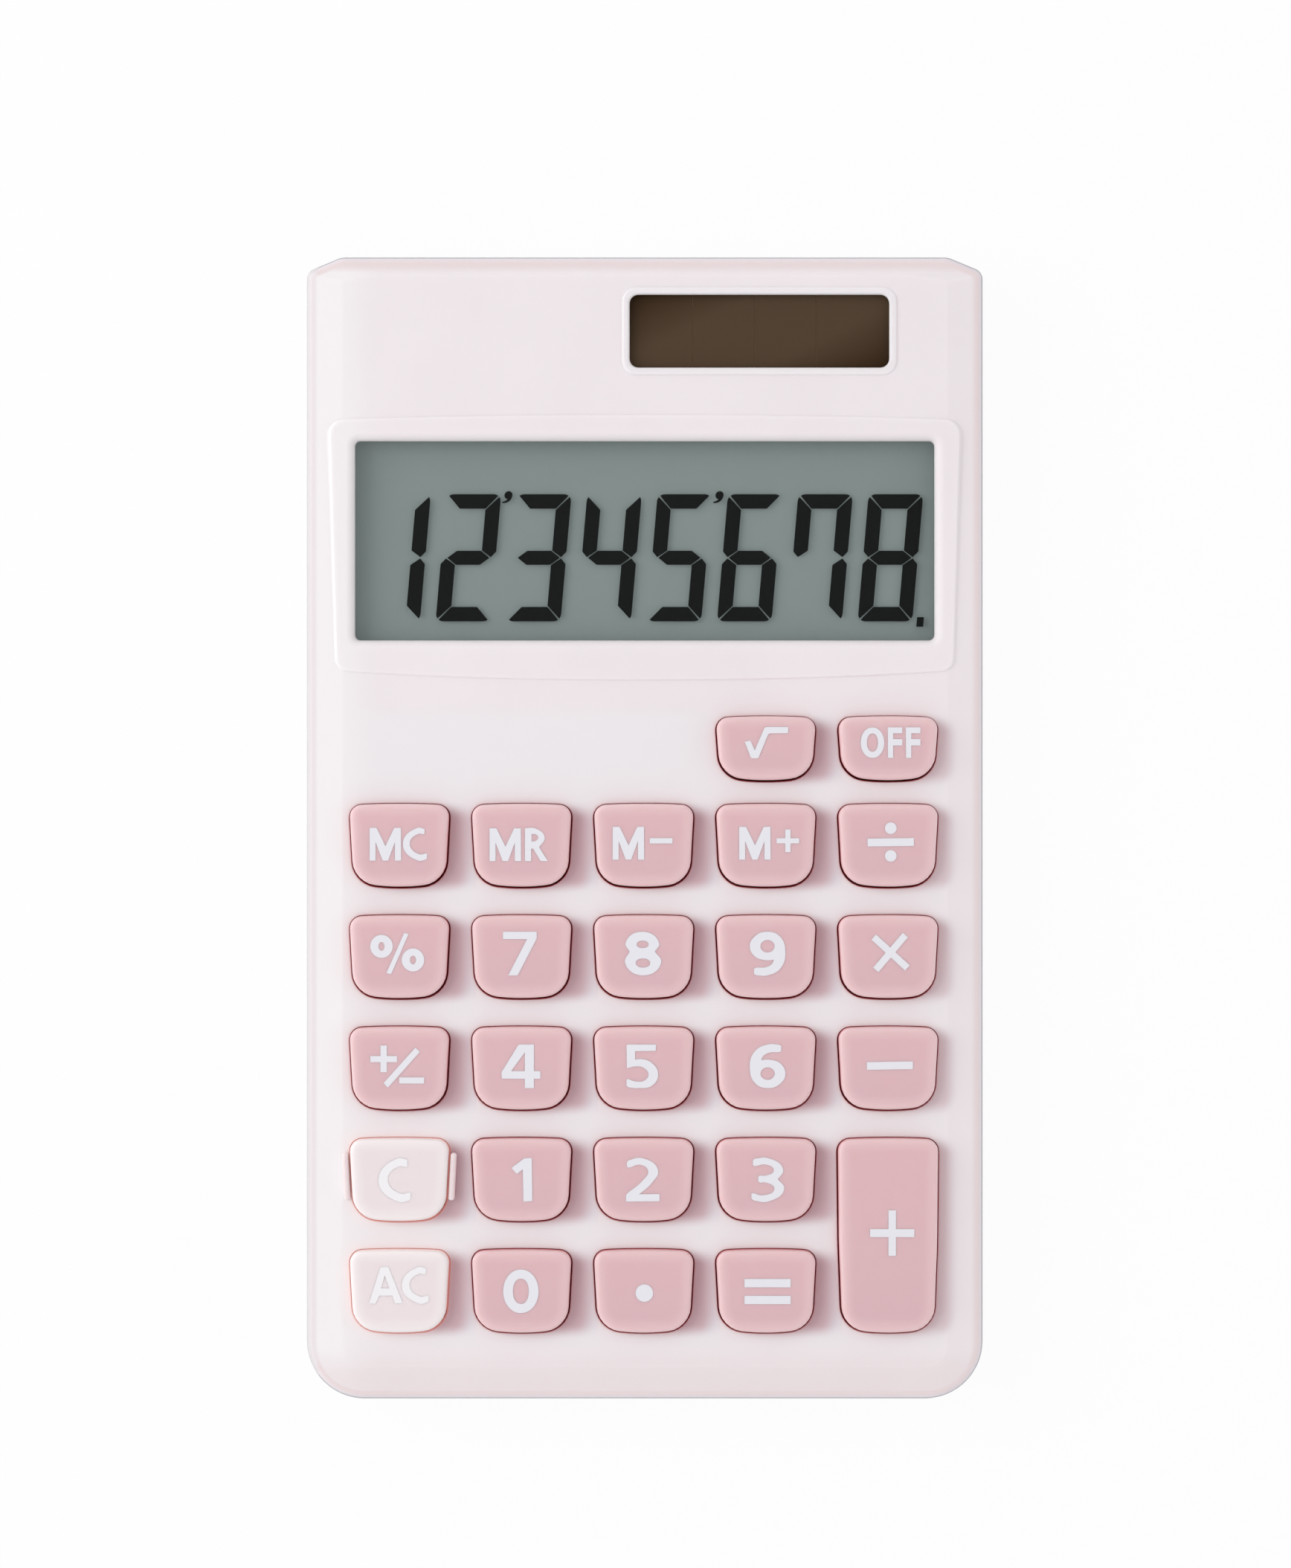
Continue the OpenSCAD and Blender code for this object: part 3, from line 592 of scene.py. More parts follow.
def painted_edge_shade(finish, tone, colours, x, y, z):
    """Painted shade along the casing's edges: a warm line along the fold above the rounded edges, and a
    grey one where they turn down.
    """
    left = finish.below(x, 1.2 * MM - HALF_W)
    drop = EDGE_Z - z
    # Painted shade: the fold's tone also covers the display end and, more weakly, the near end
    end = finish.soft(y, HALF_L - 1.8 * MM, HALF_L - 1.0 * MM) * 0.85
    near = finish.soft(y, 6 * MM - HALF_L, 2 * MM - HALF_L) * 0.5
    band = finish.largest(finish.largest(end, near), finish.soft(drop, -0.07 * MM, 0.02 * MM))
    fold = finish.mix(left, colours.fold, colours.left_fold_painted_shade)
    tone = finish.mix(band, tone, fold)
    # Painted shade on the rounded edges, darker on the left
    turned = finish.mix(left, colours.turned_edge_painted_shade, colours.left_edge_painted_shade)
    tone = finish.mix(finish.soft(drop, 0.02 * MM, 0.2 * MM), tone, turned)
    # The painted grey line down the sides, fainter on the left
    outline = finish.soft(drop, 0.22 * MM, 0.46 * MM) * finish.soft(drop, 1.0 * MM, 0.8 * MM)
    return finish.mix(outline * (1 - left * 0.7), tone, colours.outline)


def painted_face_shading(colours):
    """The light and shade painted on the face: pink shade beside the keys, deep shade inside their openings
    and painted light in those of the pale keys.
    """

    def detail(finish, tone):
        x, y, z = finish.axes()
        pale = finish.below(x, -1.5 * COLUMN) * finish.below(y, TALL_Y + 1.0 * ROW)
        # Painted pink shade beside each key, darkest at the key and paler towards the next
        past, beside = finish.painted_key_shade(x, y)
        shade = finish.soft(past, 0.9 * MM, 2.8 * MM)
        tint = finish.mix(shade, colours.painted_shade_beside, colours.painted_shade_between)
        rows = finish.soft(finish.absolute(x), 32 * MM, 30 * MM) * finish.soft(y, 13 * MM, 11 * MM)
        rows = rows * finish.soft(y, 3 * MM - HALF_L, 8 * MM - HALF_L)
        tone = finish.mix(rows, tone, colours.shell_keypad)
        # Painted light: the casing's left side is painted paler
        tone = finish.mix(finish.soft(x, -27 * MM, -32 * MM), tone, colours.left_painted_light)
        # The painted shade beside the keys, kept off the raised parts
        tone = finish.mix(beside * finish.soft(z, FACE_Z + 0.3 * MM, FACE_Z + 0.1 * MM), tone, tint)
        # What stands well above the face takes the tone of the fold's painted shade
        tone = finish.mix(finish.soft(z, FACE_Z + 0.3 * MM, FACE_Z + 0.6 * MM), tone, colours.fold)
        ring_x = finish.absolute(x - SOLAR.x) - 13.3 * MM
        ring_y = finish.absolute(y - SOLAR.y) - 3.7 * MM
        ring = 1 - finish.ramp(finish.corner_distance(ring_x, ring_y), 0.7 * MM, 1.0 * MM)
        tone = finish.mix(ring, tone, colours.solar_rim)
        tone = painted_edge_shade(finish, tone, colours, x, y, z)
        # Painted shade deep in the pink keys' openings, and painted light in the pale keys' openings, which
        # they also give off
        inside = 1 - finish.ramp(z, FACE_Z - 0.5 * MM, FACE_Z - 0.03 * MM)
        keypad = finish.below(finish.absolute(x), HALF_W - 4 * MM) * finish.below(y, 13 * MM)
        keypad = keypad * finish.above(y, 4 * MM - HALF_L)
        deep = finish.mix(pale, colours.opening, colours.pale_opening_painted_light)
        painted_emission = finish.mix(inside * keypad * pale, BLACK, colours.pale_opening_painted_light)
        return finish.mix(inside * keypad, tone, deep), painted_emission

    return detail


def key_plastic(name, far, near, rim, wall, depth=0.5 * MM, painted_emission=0.0):
    """The key's plastic with painted light: a little lighter at its far end than at its near end, and paler
    round the rim, as its attributes say. Its side walls take painted shade on the pink keys and painted
    light on the pale ones, which it may also give off.
    """
    finish = Finish(name)
    edge = finish.node("ShaderNodeAttribute", output="Fac", attribute_name="rim")
    mottle = finish.noise(140, 3)
    along = finish.node("ShaderNodeAttribute", output="Fac", attribute_name="near")
    # Painted light: the crown is a little lighter towards the far end
    tone = finish.mix(along + 0.4 * (mottle - 0.5), far, near)
    # Painted light: paler round the rim
    tone = finish.mix(finish.soft(edge, 0.1, 0.9), tone, rim)
    # The side walls below the crown: painted shade on the pink keys, painted light on the pale ones
    height = finish.axes()[2]
    side = 1 - finish.ramp(height, FACE_Z + 0.3 * MM, CROWN_Z - 0.3 * MM)
    tone = finish.mix(side, tone, wall)
    fine = finish.noise(11000, 2, 0.6)
    return finish.surface(
        {
            "Base Color": tone,
            "Roughness": 0.42 + 0.08 * mottle,
            "Specular IOR Level": 0.3,
            "Subsurface Weight": 1.0,
            "Subsurface Radius": EVEN,
            "Subsurface Scale": depth,
            # The side walls give off their colour as painted light, at the given strength
            "Emission Color": finish.mix(side, BLACK, wall),
            "Emission Strength": painted_emission,
            "Normal": finish.bump(fine, 0.04, 0.02 * MM),
        }
    )


def print_ink(name, base, gloss=0.5):
    """Printed or inked colour, a little uneven."""
    finish = Finish(name)
    uneven = finish.noise(1500, 2)
    tone = finish.mix(finish.ramp(uneven, 0.3, 0.7) * 0.35, base, scaled(base, 0.96))
    return finish.surface(
        {
            "Base Color": tone,
            "Roughness": 0.4 + 0.1 * uneven,
            "Specular IOR Level": gloss,
            "Normal": finish.bump(uneven, 0.03, 0.01 * MM),
        }
    )


def clear(name, tint, alpha, roughness=0.08):
    """Glass or clear plastic, thin enough that light passes straight through."""
    finish = Finish(name)
    smear = finish.noise(220, 2)
    return finish.surface(
        {
            "Base Color": finish.mix(smear * 0.3, tint, scaled(tint, 0.9)),
            "Roughness": roughness + 0.04 * smear,
            "Specular IOR Level": 0.25,
            "Alpha": alpha,
        }
    )


def reflector_film(name, base):
    """The grey-green behind the display's figures, very finely speckled, which also gives off its colour as
    painted light that lifts the shade inside the display.
    """
    finish = Finish(name)
    speckle = finish.noise(14000, 2, 0.7)
    cloud = finish.noise(60, 2)
    tone = finish.mix(finish.ramp(speckle, 0.3, 0.7), scaled(base, 0.94), scaled(base, 1.06))
    tone = finish.mix(cloud * 0.25, tone, scaled(base, 0.95))
    return finish.surface(
        {
            "Base Color": tone,
            "Roughness": 0.55 + 0.1 * speckle,
            # Painted light: the film gives off its own colour
            "Emission Color": tone,
            "Emission Strength": 0.46,
        }
    )


def solar_film(name, lit, shaded):
    """Brown solar film whose two opposite corners are darker."""
    finish = Finish(name)
    x, y, _ = finish.axes()
    half_width, half_length = 13.4 * MM, 3.75 * MM
    across = (x - SOLAR.x) / half_width
    along = (y - SOLAR.y) / half_length
    away = finish.absolute(across * 0.75 - along * 0.42)
    corner = finish.ramp(away, 0.45, 1.2)
    lines = finish.node(
        "ShaderNodeTexWave",
        {"Vector": finish.place(), "Scale": 900.0, "Distortion": 0.4},
        output="Fac",
        bands_direction="X",
    )
    tone = finish.mix(corner, lit, shaded)
    tone = finish.mix(lines * 0.12, tone, scaled(lit, 0.8))
    return finish.surface(
        {"Base Color": tone, "Roughness": 0.35 + 0.1 * lines, "Specular IOR Level": 0.08}
    )


def metal(name, base, roughness, scratch=1200):
    """Plated or bare metal with fine marks."""
    finish = Finish(name)
    marks = finish.noise(scratch, 4, 0.7)
    tone = finish.mix(finish.ramp(marks, 0.3, 0.75), base, scaled(base, 0.8))
    return finish.surface(
        {
            "Base Color": tone,
            "Metallic": 1.0,
            "Roughness": roughness + 0.18 * marks,
            "Normal": finish.bump(marks, 0.08, 0.01 * MM),
        }
    )


def rubber(name, base, roughness=0.75):
    """Silicone or rubber with a powdery surface."""
    finish = Finish(name)
    dust = finish.noise(700, 4, 0.6)
    tone = finish.mix(finish.ramp(dust, 0.4, 0.8) * 0.5, base, scaled(base, 1.12))
    return finish.surface(
        {
            "Base Color": tone,
            "Roughness": roughness + 0.12 * dust,
            "Normal": finish.bump(dust, 0.1, 0.03 * MM),
        }
    )


def board_laminate(name):
    """Tan phenolic board with the faint fibres of its paper core and paler copper runs."""
    finish = Finish(name)
    fibre = finish.noise(900, 4, 0.6)
    runs = finish.node(
        "ShaderNodeTexBrick",
        {
            "Vector": finish.place(),
            "Scale": 260.0,
            "Mortar Size": 0.06,
            "Color1": (0.46, 0.28, 0.10),
            "Color2": (0.42, 0.25, 0.09),
            "Mortar": (0.62, 0.42, 0.2),
        },
        output="Color",
    )
    tone = finish.mix(fibre * 0.4, runs, (0.55, 0.37, 0.17))
    return finish.surface({"Base Color": tone, "Roughness": 0.45 + 0.15 * fibre})


def foam_sheet(name, base):
    """Open-celled foam, with painted shade in the pits of its cells."""
    finish = Finish(name)
    cells = finish.node(
        "ShaderNodeTexVoronoi", {"Vector": finish.place(), "Scale": 2600.0}, output="Distance"
    )
    # Painted shade: darker in the pits of the cells
    tone = finish.mix(finish.ramp(cells, 0.0, 0.6), scaled(base, 0.5), base)
    return finish.surface(
        {"Base Color": tone, "Roughness": 0.95, "Normal": finish.bump(cells, 0.5, 0.1 * MM)}
    )


def paint_node(name, material):
    """Puts a material on a node of the frame."""
    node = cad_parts[name]
    if not node.material_slots:
        node.data.materials.append(material)
    for slot in node.material_slots:
        slot.material = material


# ---- Casings ----


def casing_corners(inset, sizes):
    """The casing's outline: large corners towards the user, small chamfers at the display end."""
    x, y = HALF_W - inset, HALF_L - inset
    chamfer_x, chamfer_y = 3.6 * MM, 1.5 * MM
    radius = sizes.front_corner - inset
    # The chamfers' two ends are rounded too, for as long as the inset leaves something to round
    outer, inner = max(0, 1.1 * MM - inset), max(0, 1.8 * MM - inset)
    return [
        (-x, -y, radius),
        (x, -y, radius),
        (x, y - chamfer_y, outer),
        (x - chamfer_x, y, inner),
        (chamfer_x - x, y, inner),
        (-x, y - chamfer_y, outer),
    ]


def front_shell(sizes):
    """The solid outside of the front casing, with its sloping bands."""
    edge_z = FACE_Z - sizes.slope_rise
    shell = plate("front_casing_shell", casing_corners(0, sizes), SPLIT_Z)
    pull(shell, [(0, edge_z - sizes.edge_round - SPLIT_Z)] + roll_over(sizes.edge_round, 8))
    # The band climbs in three steps, which keeps both of its folds crisp
    for before, after in ((0, 0.05), (0.05, 0.95), (0.95, 1)):
        low, high = edge_z + before * sizes.slope_rise, edge_z + after * sizes.slope_rise
        with editing(shell):
            pick(shell, "FACE", lambda f: level(f, low))
            bpy.ops.mesh.extrude_region_move(TRANSFORM_OT_translate={"value": (0, 0, high - low)})
            draw_in(shell, high, before, after, sizes)
    with editing(shell):
        pick(shell, "EDGE", lambda e: level(e, SPLIT_Z))
        bpy.ops.mesh.bevel(offset=sizes.parting, segments=2, affect="EDGES")
    return close_up(shell)


def draw_in(shell, z, before, after, sizes):
    """Draws the top outline inwards, from one share of the sloping band to the next."""
    width, radius = sizes.slope_width - sizes.edge_round, sizes.front_corner - sizes.edge_round
    step = after - before
    # How far the near corners move towards the user, and the chamfers' outer ends too
    near_drift, chamfer_drift = 0.35 * MM, 0.56 * MM
    for side in (-1, 1):
        arc = Vector((side * (HALF_W - sizes.front_corner), sizes.front_corner - HALF_L, z))
        arc.y -= near_drift * before
        pick(shell, "VERT", lambda v: level(v, z) and v.co.y < 0 and v.co.x * side > 0)
        share = (radius - after * width) / (radius - before * width)
        bpy.ops.transform.resize(value=(share, share, 1), center_override=arc)
        shift(0, -near_drift * step, 0)
        border = HALF_W - 2 * MM - before * width
        pick(shell, "VERT", lambda v: level(v, z) and v.co.y > 0 and 0 < v.co.x * side < border)
        shift(-side * (width + near_drift) * step, (sizes.edge_round - sizes.end_slope) * step, 0)
        pick(shell, "VERT", lambda v: level(v, z) and v.co.y > 0 and v.co.x * side > border)
        shift(-side * width * step, -chamfer_drift * step, 0)


def bezel(sizes):
    """The raised frame round the display: wider at its top, with bowed ends."""
    top_x, low_x = HALF_W - 2.05 * MM, HALF_W - 2.8 * MM
    top_y, low_y = DISPLAY_Y + 12.8 * MM, DISPLAY_Y - 13.75 * MM
    top_r, low_r = 1.9 * MM, 1.6 * MM
    # The middle of each end stands out, and a very large radius turns that into a bow
    corners = [
        (-low_x, low_y, low_r),
        (0, low_y - 2 * MM, 450 * MM),
        (low_x, low_y, low_r),
        (top_x, top_y, top_r),
        (0, top_y + 1.05 * MM, 900 * MM),
        (-top_x, top_y, top_r),
    ]
    sunk = 0.2 * MM
    steps = [(0, MM - sunk)] + swell(sizes.bezel_edge, sizes.bezel_height + sunk, 9)
    return solid("bezel", corners, FACE_Z - MM, steps)


def solar_surround(sizes):
    """The raised rim round the solar cell."""
    low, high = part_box("solar_glass")
    width = high.x - low.x - SOLAR_LAP + 2 * sizes.solar_rim
    height = high.y - low.y - SOLAR_LAP + 2 * sizes.solar_rim
    corners = box_corners(SOLAR.x, SOLAR.y, width, height, 1.7 * MM)
    sunk, rise_width = 0.1 * MM, 0.4 * MM
    steps = [(0, MM - sunk)] + swell(rise_width, sizes.solar_rim_height + sunk, 5)
    return solid("solar_rim", corners, FACE_Z - MM, steps)


def guards(keys):
    """Two low ribs beside the clear key, which lean as its sides do."""
    place = key_place("key_clear")
    width, depth, radius = 0.65 * MM, 4.9 * MM, 0.3 * MM
    lean = math.atan2(keys.taper, 8.7 * MM)
    out = (keys.width - keys.taper + width) / 2 + keys.gap + 0.05 * MM
    steps = [(0, 1.9 * MM)] + roll_over(0.28 * MM, 4)
    ribs = []
    for side in (-1, 1):
        x, y = place.x + side * out, place.y + 0.25 * MM
        corners = box_corners(x, y, width, depth, radius, -side * lean)
        ribs.append(solid("guard", corners, FACE_Z - MM, steps))
    return join(ribs)


def display_cutter(sizes):
    """The way down to the display, rounded at the top."""
    size = (WINDOW_HIGH.x - WINDOW_LOW.x - 2.6 * MM, WINDOW_HIGH.y - WINDOW_LOW.y - 2.2 * MM)
    top = FACE_Z + sizes.bezel_height
    return way_in("display_cutter", (0, DISPLAY_Y), size, 0.45 * MM, top, sizes.display_round, 9)


def solar_cutter(sizes):
    """The way down to the solar cell, rounded at the top."""
    low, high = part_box("solar_glass")
    size = (high.x - low.x - SOLAR_LAP, high.y - low.y - SOLAR_LAP)
    top = FACE_Z + sizes.solar_rim_height
    return way_in("solar_cutter", (SOLAR.x, SOLAR.y), size, 0.9 * MM, top, 0.3 * MM, 4)


def way_in(name, spot, size, radius, top, edge, count):
    """A cutter from above a rim down through the ceiling, with the rim's inner edge rounded over."""
    corners = box_corners(*spot, size[0] + 2 * edge, size[1] + 2 * edge, edge + radius)
    steps = [(0, MM)] + roll_under(edge, count) + [(0, top - edge - CEILING_Z + MM)]
    return solid(name, corners, top + MM, steps, down=True)


def pocket(name, low, high, x, y, width, height, radius=0.4 * MM):
    """A recess for a pane, open towards the inside."""
    return solid(name, box_corners(x, y, width, height, radius), low, [(0, high - low)])


def key_cutters(sizes, keys):
    """One cutter for all the keys' openings, each with a rounded rim and a slight draft."""
    spread, drop = keys.gap + sizes.hole_round, 0.09 * MM
    draft = (0.12 * MM, 0.8 * MM)
    steps = [(0, MM)] + roll_under(sizes.hole_round, 3) + [draft, (0, 2 * MM)]
    shapes = {}
    cutters = []
    for name in KEYS:
        kind = key_kind(name)
        if kind not in shapes:
            corners = key_corners(kind, spread, keys)
            shapes[kind] = solid("opening", corners, FACE_Z + MM, steps, down=True)
        place = key_place(name)
        cutters.append(copy_to(shapes[kind], "opening", place.x, place.y - drop))
    for shape in shapes.values():
        bpy.data.objects.remove(shape)
    return join(cutters)


def screw_places():
    """Where the four screws of the casings stand."""
    return [
        Vector((side * (HALF_W - inset), y, 0))
        for side in (-1, 1)
        for inset, y in ((5.2 * MM, 5.2 * MM - HALF_L), (4.7 * MM, HALF_L - 4.6 * MM))
    ]


class CALCULATOR_OT_front_casing(bpy.types.Operator):
    """Model the front casing with its display frame, solar rim and key openings"""

    bl_idname = "calculator.front_casing"
    bl_label = "Front casing"

    def execute(self, context):
        sizes, keys = context.scene.calculator_casing, context.scene.calculator_keys
        shell = front_shell(sizes)
        for raised in (bezel(sizes), solar_surround(sizes), guards(keys)):
            combine(shell, raised, "UNION")
        steps = [(0, CEILING_Z - SPLIT_Z + MM)]
        hollow = solid("hollow", casing_corners(sizes.wall, sizes), SPLIT_Z - MM, steps)
        combine(shell, hollow, "DIFFERENCE")
        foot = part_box("front_casing")[0].z
        places = screw_places()
        bosses = [peg("boss", p.x, p.y, foot, CEILING_Z + 0.2 * MM, 2.2 * MM) for p in places]
        combine(shell, join(bosses), "UNION")
        pilots = [peg("pilot", p.x, p.y, foot - MM, CEILING_Z + 0.5 * MM, 0.85 * MM) for p in places]
        combine(shell, join(pilots), "DIFFERENCE")
        window_w = WINDOW_HIGH.x - WINDOW_LOW.x + 0.2 * MM
        window_h = WINDOW_HIGH.y - WINDOW_LOW.y + 0.2 * MM
        combine(shell, display_cutter(sizes), "DIFFERENCE")
        recess = pocket("recess", CEILING_Z - MM, WINDOW_HIGH.z, 0, DISPLAY_Y, window_w, window_h)
        combine(shell, recess, "DIFFERENCE")
        combine(shell, solar_cutter(sizes), "DIFFERENCE")
        # The glass sits in a smaller recess than the film behind it
        low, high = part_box("solar_glass")
        play = 0.2 * MM
        for top, margin, radius in ((low.z, play, 0.4 * MM), (high.z, play - 2 * PANE_TRIM, 1.2 * MM)):
            width, height = high.x - low.x + margin, high.y - low.y + margin
            recess = pocket("recess", CEILING_Z - MM, top, SOLAR.x, SOLAR.y, width, height, radius)
            combine(shell, recess, "DIFFERENCE")
        combine(shell, key_cutters(sizes, keys), "DIFFERENCE")
        smooth(shell)
        colours = context.scene.calculator_colours
        material = moulded("casing_plastic", colours.shell, detail=painted_face_shading(colours))
        settle(shell, "casing", "casing", material, "front_casing")
        return {"FINISHED"}


class CALCULATOR_OT_rear_casing(bpy.types.Operator):
    """Model the rear casing with its wells for the screws, feet, label and battery"""

    bl_idname = "calculator.rear_casing"
    bl_label = "Rear casing"

    def execute(self, context):
        sizes = context.scene.calculator_casing
        tray = plate("rear_casing_shell", casing_corners(0, sizes), SPLIT_Z)
        side = SPLIT_Z - BACK_Z - sizes.rear_round
        pull(tray, [(0, side)] + roll_over(sizes.rear_round, 7), down=True)
        with editing(tray):
            pick(tray, "EDGE", lambda e: level(e, SPLIT_Z))
            bpy.ops.mesh.bevel(offset=sizes.parting, segments=2, affect="EDGES")
        close_up(tray)
        lip = casing_corners(sizes.wall + 0.1 * MM, sizes)
        combine(tray, solid("lip", lip, SPLIT_Z - MM, [(0, 1.8 * MM)]), "UNION")
        hollow, floor_z = casing_corners(sizes.wall + 0.7 * MM, sizes), BACK_Z + 1.2 * MM
        combine(tray, solid("hollow", hollow, floor_z, [(0, 6 * MM)]), "DIFFERENCE")
        self.posts(tray)
        self.wells(tray)
        smooth(tray)
        colours = context.scene.calculator_colours
        material = moulded("rear_casing_plastic", colours.shell, 0.45, 0.12)
        settle(tray, "casing", "casing", material, "rear_casing")
        return {"FINISHED"}

    def posts(self, tray):
        """What stands up inside the tray."""
        floor, post_top, bay_top = BACK_Z + MM, 3.4 * MM, 5.4 * MM
        for place in screw_places():
            combine(tray, peg("post", place.x, place.y, floor, post_top, 2.9 * MM), "UNION")
        cell = box_middle("button_cell")
        combine(tray, peg("bay", cell.x, cell.y, floor, bay_top, 6.9 * MM, 64), "UNION")
        centre = box_middle("battery_cover")
        block = box_corners(centre.x + 0.5 * MM, centre.y, 23 * MM, 15.2 * MM, 0.4 * MM)
        combine(tray, pull(plate("block", block, floor), [(0, 0.6 * MM)]), "UNION")
        screw = box_middle("battery_cover_screw")
        combine(tray, peg("screw_post", screw.x, screw.y, floor, BACK_Z + 4.2 * MM, 1.9 * MM), "UNION")
        # The display rests on four of these
        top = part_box("display_pad")[0].z
        for x in (-29.4, -9.5, 9.5, 29.4):
            prop = box_corners(x * MM, DISPLAY_Y + 2 * MM, 1.2 * MM, 16 * MM, 0.2 * MM)
            combine(tray, pull(plate("prop", prop, floor), [(0, top - floor)]), "UNION")

    def wells(self, tray):
        """What is sunk into the back, each with a softened rim."""
        wells = [self.well(place, 2.05 * MM, 1.6 * MM) for place in screw_places()]
        wells += [self.well(place, 4.1 * MM, 0.5 * MM) for place in foot_places()]
        low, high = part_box("battery_cover")
        width = high.x - low.x - MM + 0.3 * MM
        centre = Vector((high.x - width / 2 + 0.15 * MM, (low.y + high.y) / 2, 0))
        recess = box_corners(centre.x, centre.y, width + 0.2 * MM, high.y - low.y + 0.5 * MM, 1.3 * MM)
        wells.append(self.recess(recess, 1.05 * MM))
        label = box_corners(0, 8 * MM, 42.2 * MM, 20.2 * MM, 1.6 * MM)
        wells.append(self.recess(label, 0.2 * MM))
        combine(tray, join(wells), "DIFFERENCE")
        cell, above_all = box_middle("button_cell"), 8 * MM
        combine(tray, peg("cell_well", cell.x, cell.y, BACK_Z - MM, above_all, 6.05 * MM, 64), "DIFFERENCE")
        shanks = [(place, 1.1 * MM) for place in screw_places()]
        for place, radius in shanks + [(box_middle("battery_cover_screw"), 0.7 * MM)]:
            combine(tray, peg("shank", place.x, place.y, BACK_Z, 6 * MM, radius), "DIFFERENCE")
        slot = box_corners(low.x + 0.2 * MM, cell.y, 2 * MM, 4.4 * MM, 0.1 * MM)
        combine(tray, solid("tongue_slot", slot, BACK_Z + 0.45 * MM, [(0, 0.65 * MM)]), "DIFFERENCE")

    def well(self, place, radius, depth):
        return self.recess(circle_corners(place.x, place.y, radius, 40), depth)

    def recess(self, corners, depth):
        """A cutter that goes into the back from below, with a small round where it starts."""
        edge = 0.1 * MM
        steps = [(0, MM)] + roll_under(edge, 2) + [(0, depth - edge)]
        return solid("recess", corners, BACK_Z - MM, steps)


def foot_places():
    """Where the four rubber feet stand: a little further out at the display end."""
    low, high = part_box("rubber_feet")
    top_y = high.y - 4 * MM
    low_y = low.y + 4 * MM
    return [Vector((side * x * MM, y, 0)) for side in (-1, 1) for x, y in ((26.5, top_y), (25, low_y))]


# ---- Keys ----

# How far in from a key's side, and how far below its crown, its rim turns into its flat top
KEY_PROFILE = [
    (0.00, 0.80),
    (0.02, 0.50),
    (0.05, 0.33),
    (0.09, 0.22),
    (0.15, 0.14),
    (0.24, 0.08),
    (0.36, 0.04),
    (0.52, 0.01),
    (0.72, 0.00),
]
# How far in from a key's outline the rim's paler painted light reaches
RIM_REACH = 1.7 * MM
KEY_LENGTHS = {"plain": 8.4 * MM, "short": 6.45 * MM, "tall": 19.9 * MM}
# Where a key's stems stand, from its middle
STEM_OFFSETS = {"plain": (0,), "short": (0,), "tall": (-5.75 * MM, 5.75 * MM)}


def key_kind(name):
    low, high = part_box(name)
    depth = high.y - low.y
    return "tall" if depth > 12 * MM else "short" if depth < 8 * MM else "plain"


def key_place(name):
    """The middle of a key. Its bowed ends aren't alike, so that is a little above the middle of its box."""
    centre = box_middle(name)
    return Vector((centre.x, centre.y + 0.049 * MM, 0))


def key_corners(kind, grow, keys):
    """A key from above: narrower towards the user, with bowed ends. The tall one's sides bend half way."""
    x, y = keys.width / 2 + grow, KEY_LENGTHS[kind] / 2 + grow
    low_x = x - keys.taper
    top_bow, low_bow = 0.15 * MM, 0.25 * MM
    top_r = (x - 1.6 * MM) * x / (2 * top_bow)
    low_r = (x - 3.4 * MM) * x / (2 * low_bow)
    small, large = 1.25 * MM + grow, 2.6 * MM + grow
    waist = [(x - 0.12 * MM, -MM, 60 * MM)] if kind == "tall" else []
    right = [(low_x, low_bow - y, large)] + waist + [(x, y - top_bow, small)]
    left = [(-a, b, r) for a, b, r in reversed(right)]
    return [(0, -y - low_bow, low_r)] + right + [(0, y + top_bow, top_r)] + left


def key_cap(kind, keys):
    """One key about the origin, hollow, with its stem and its two lugs."""
    crown = CROWN_Z - 0.02 * MM
    cap = plate(f"cap_{kind}", key_corners(kind, 0, keys), SKIRT_Z)
    rim = [[cap.data.vertices[end].co.to_2d() for end in edge.vertices] for edge in cap.data.edges]
    steps = [(0, crown - KEY_PROFILE[0][1] * MM - SKIRT_Z)]
    steps += [((b[0] - a[0]) * MM, (a[1] - b[1]) * MM) for a, b in zip(KEY_PROFILE, KEY_PROFILE[1:])]
    pull(cap, steps)
    divide_crown(cap, kind, crown)
    close_up(cap)
    lugs = box_corners(0, 0, keys.width + 1.6 * MM, 4.6 * MM, 0.15 * MM)
    combine(cap, solid("lugs", lugs, SKIRT_Z, [(0, 0.7 * MM)]), "UNION")
    inner, roof = key_corners(kind, -keys.wall, keys), crown - 1.05 * MM
    combine(cap, solid("inner", inner, SKIRT_Z - MM, [(0, roof - SKIRT_Z + MM)]), "DIFFERENCE")
    for y in STEM_OFFSETS[kind]:
        stem = peg("stem", 0, y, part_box("key_5")[0].z, roof + 0.3 * MM, 1.5 * MM, 24)
        combine(cap, stem, "UNION")
    mark_rim(cap, rim)
    smooth(cap, 40)
    return cap


def divide_crown(cap, kind, crown):
    """Cuts the flat top into a grid, so that the rim's painted light can fade across it."""
    cuts = [
        (axis, side * (half - inset * MM))
        for axis, half in enumerate((5.1 * MM, KEY_LENGTHS[kind] / 2))
        for side in (-1, 1)
        for inset in (0.85, 1.05, 1.3, 1.6, 1.9, 2.2, 2.5)
    ]
    with editing(cap):
        for axis, at in cuts:
            pick(cap, "FACE", lambda f: level(f, crown))
            place, normal = [0, 0, 0], [0, 0, 0]
            place[axis], normal[axis] = at, 1
            bpy.ops.mesh.bisect(plane_co=place, plane_no=normal)


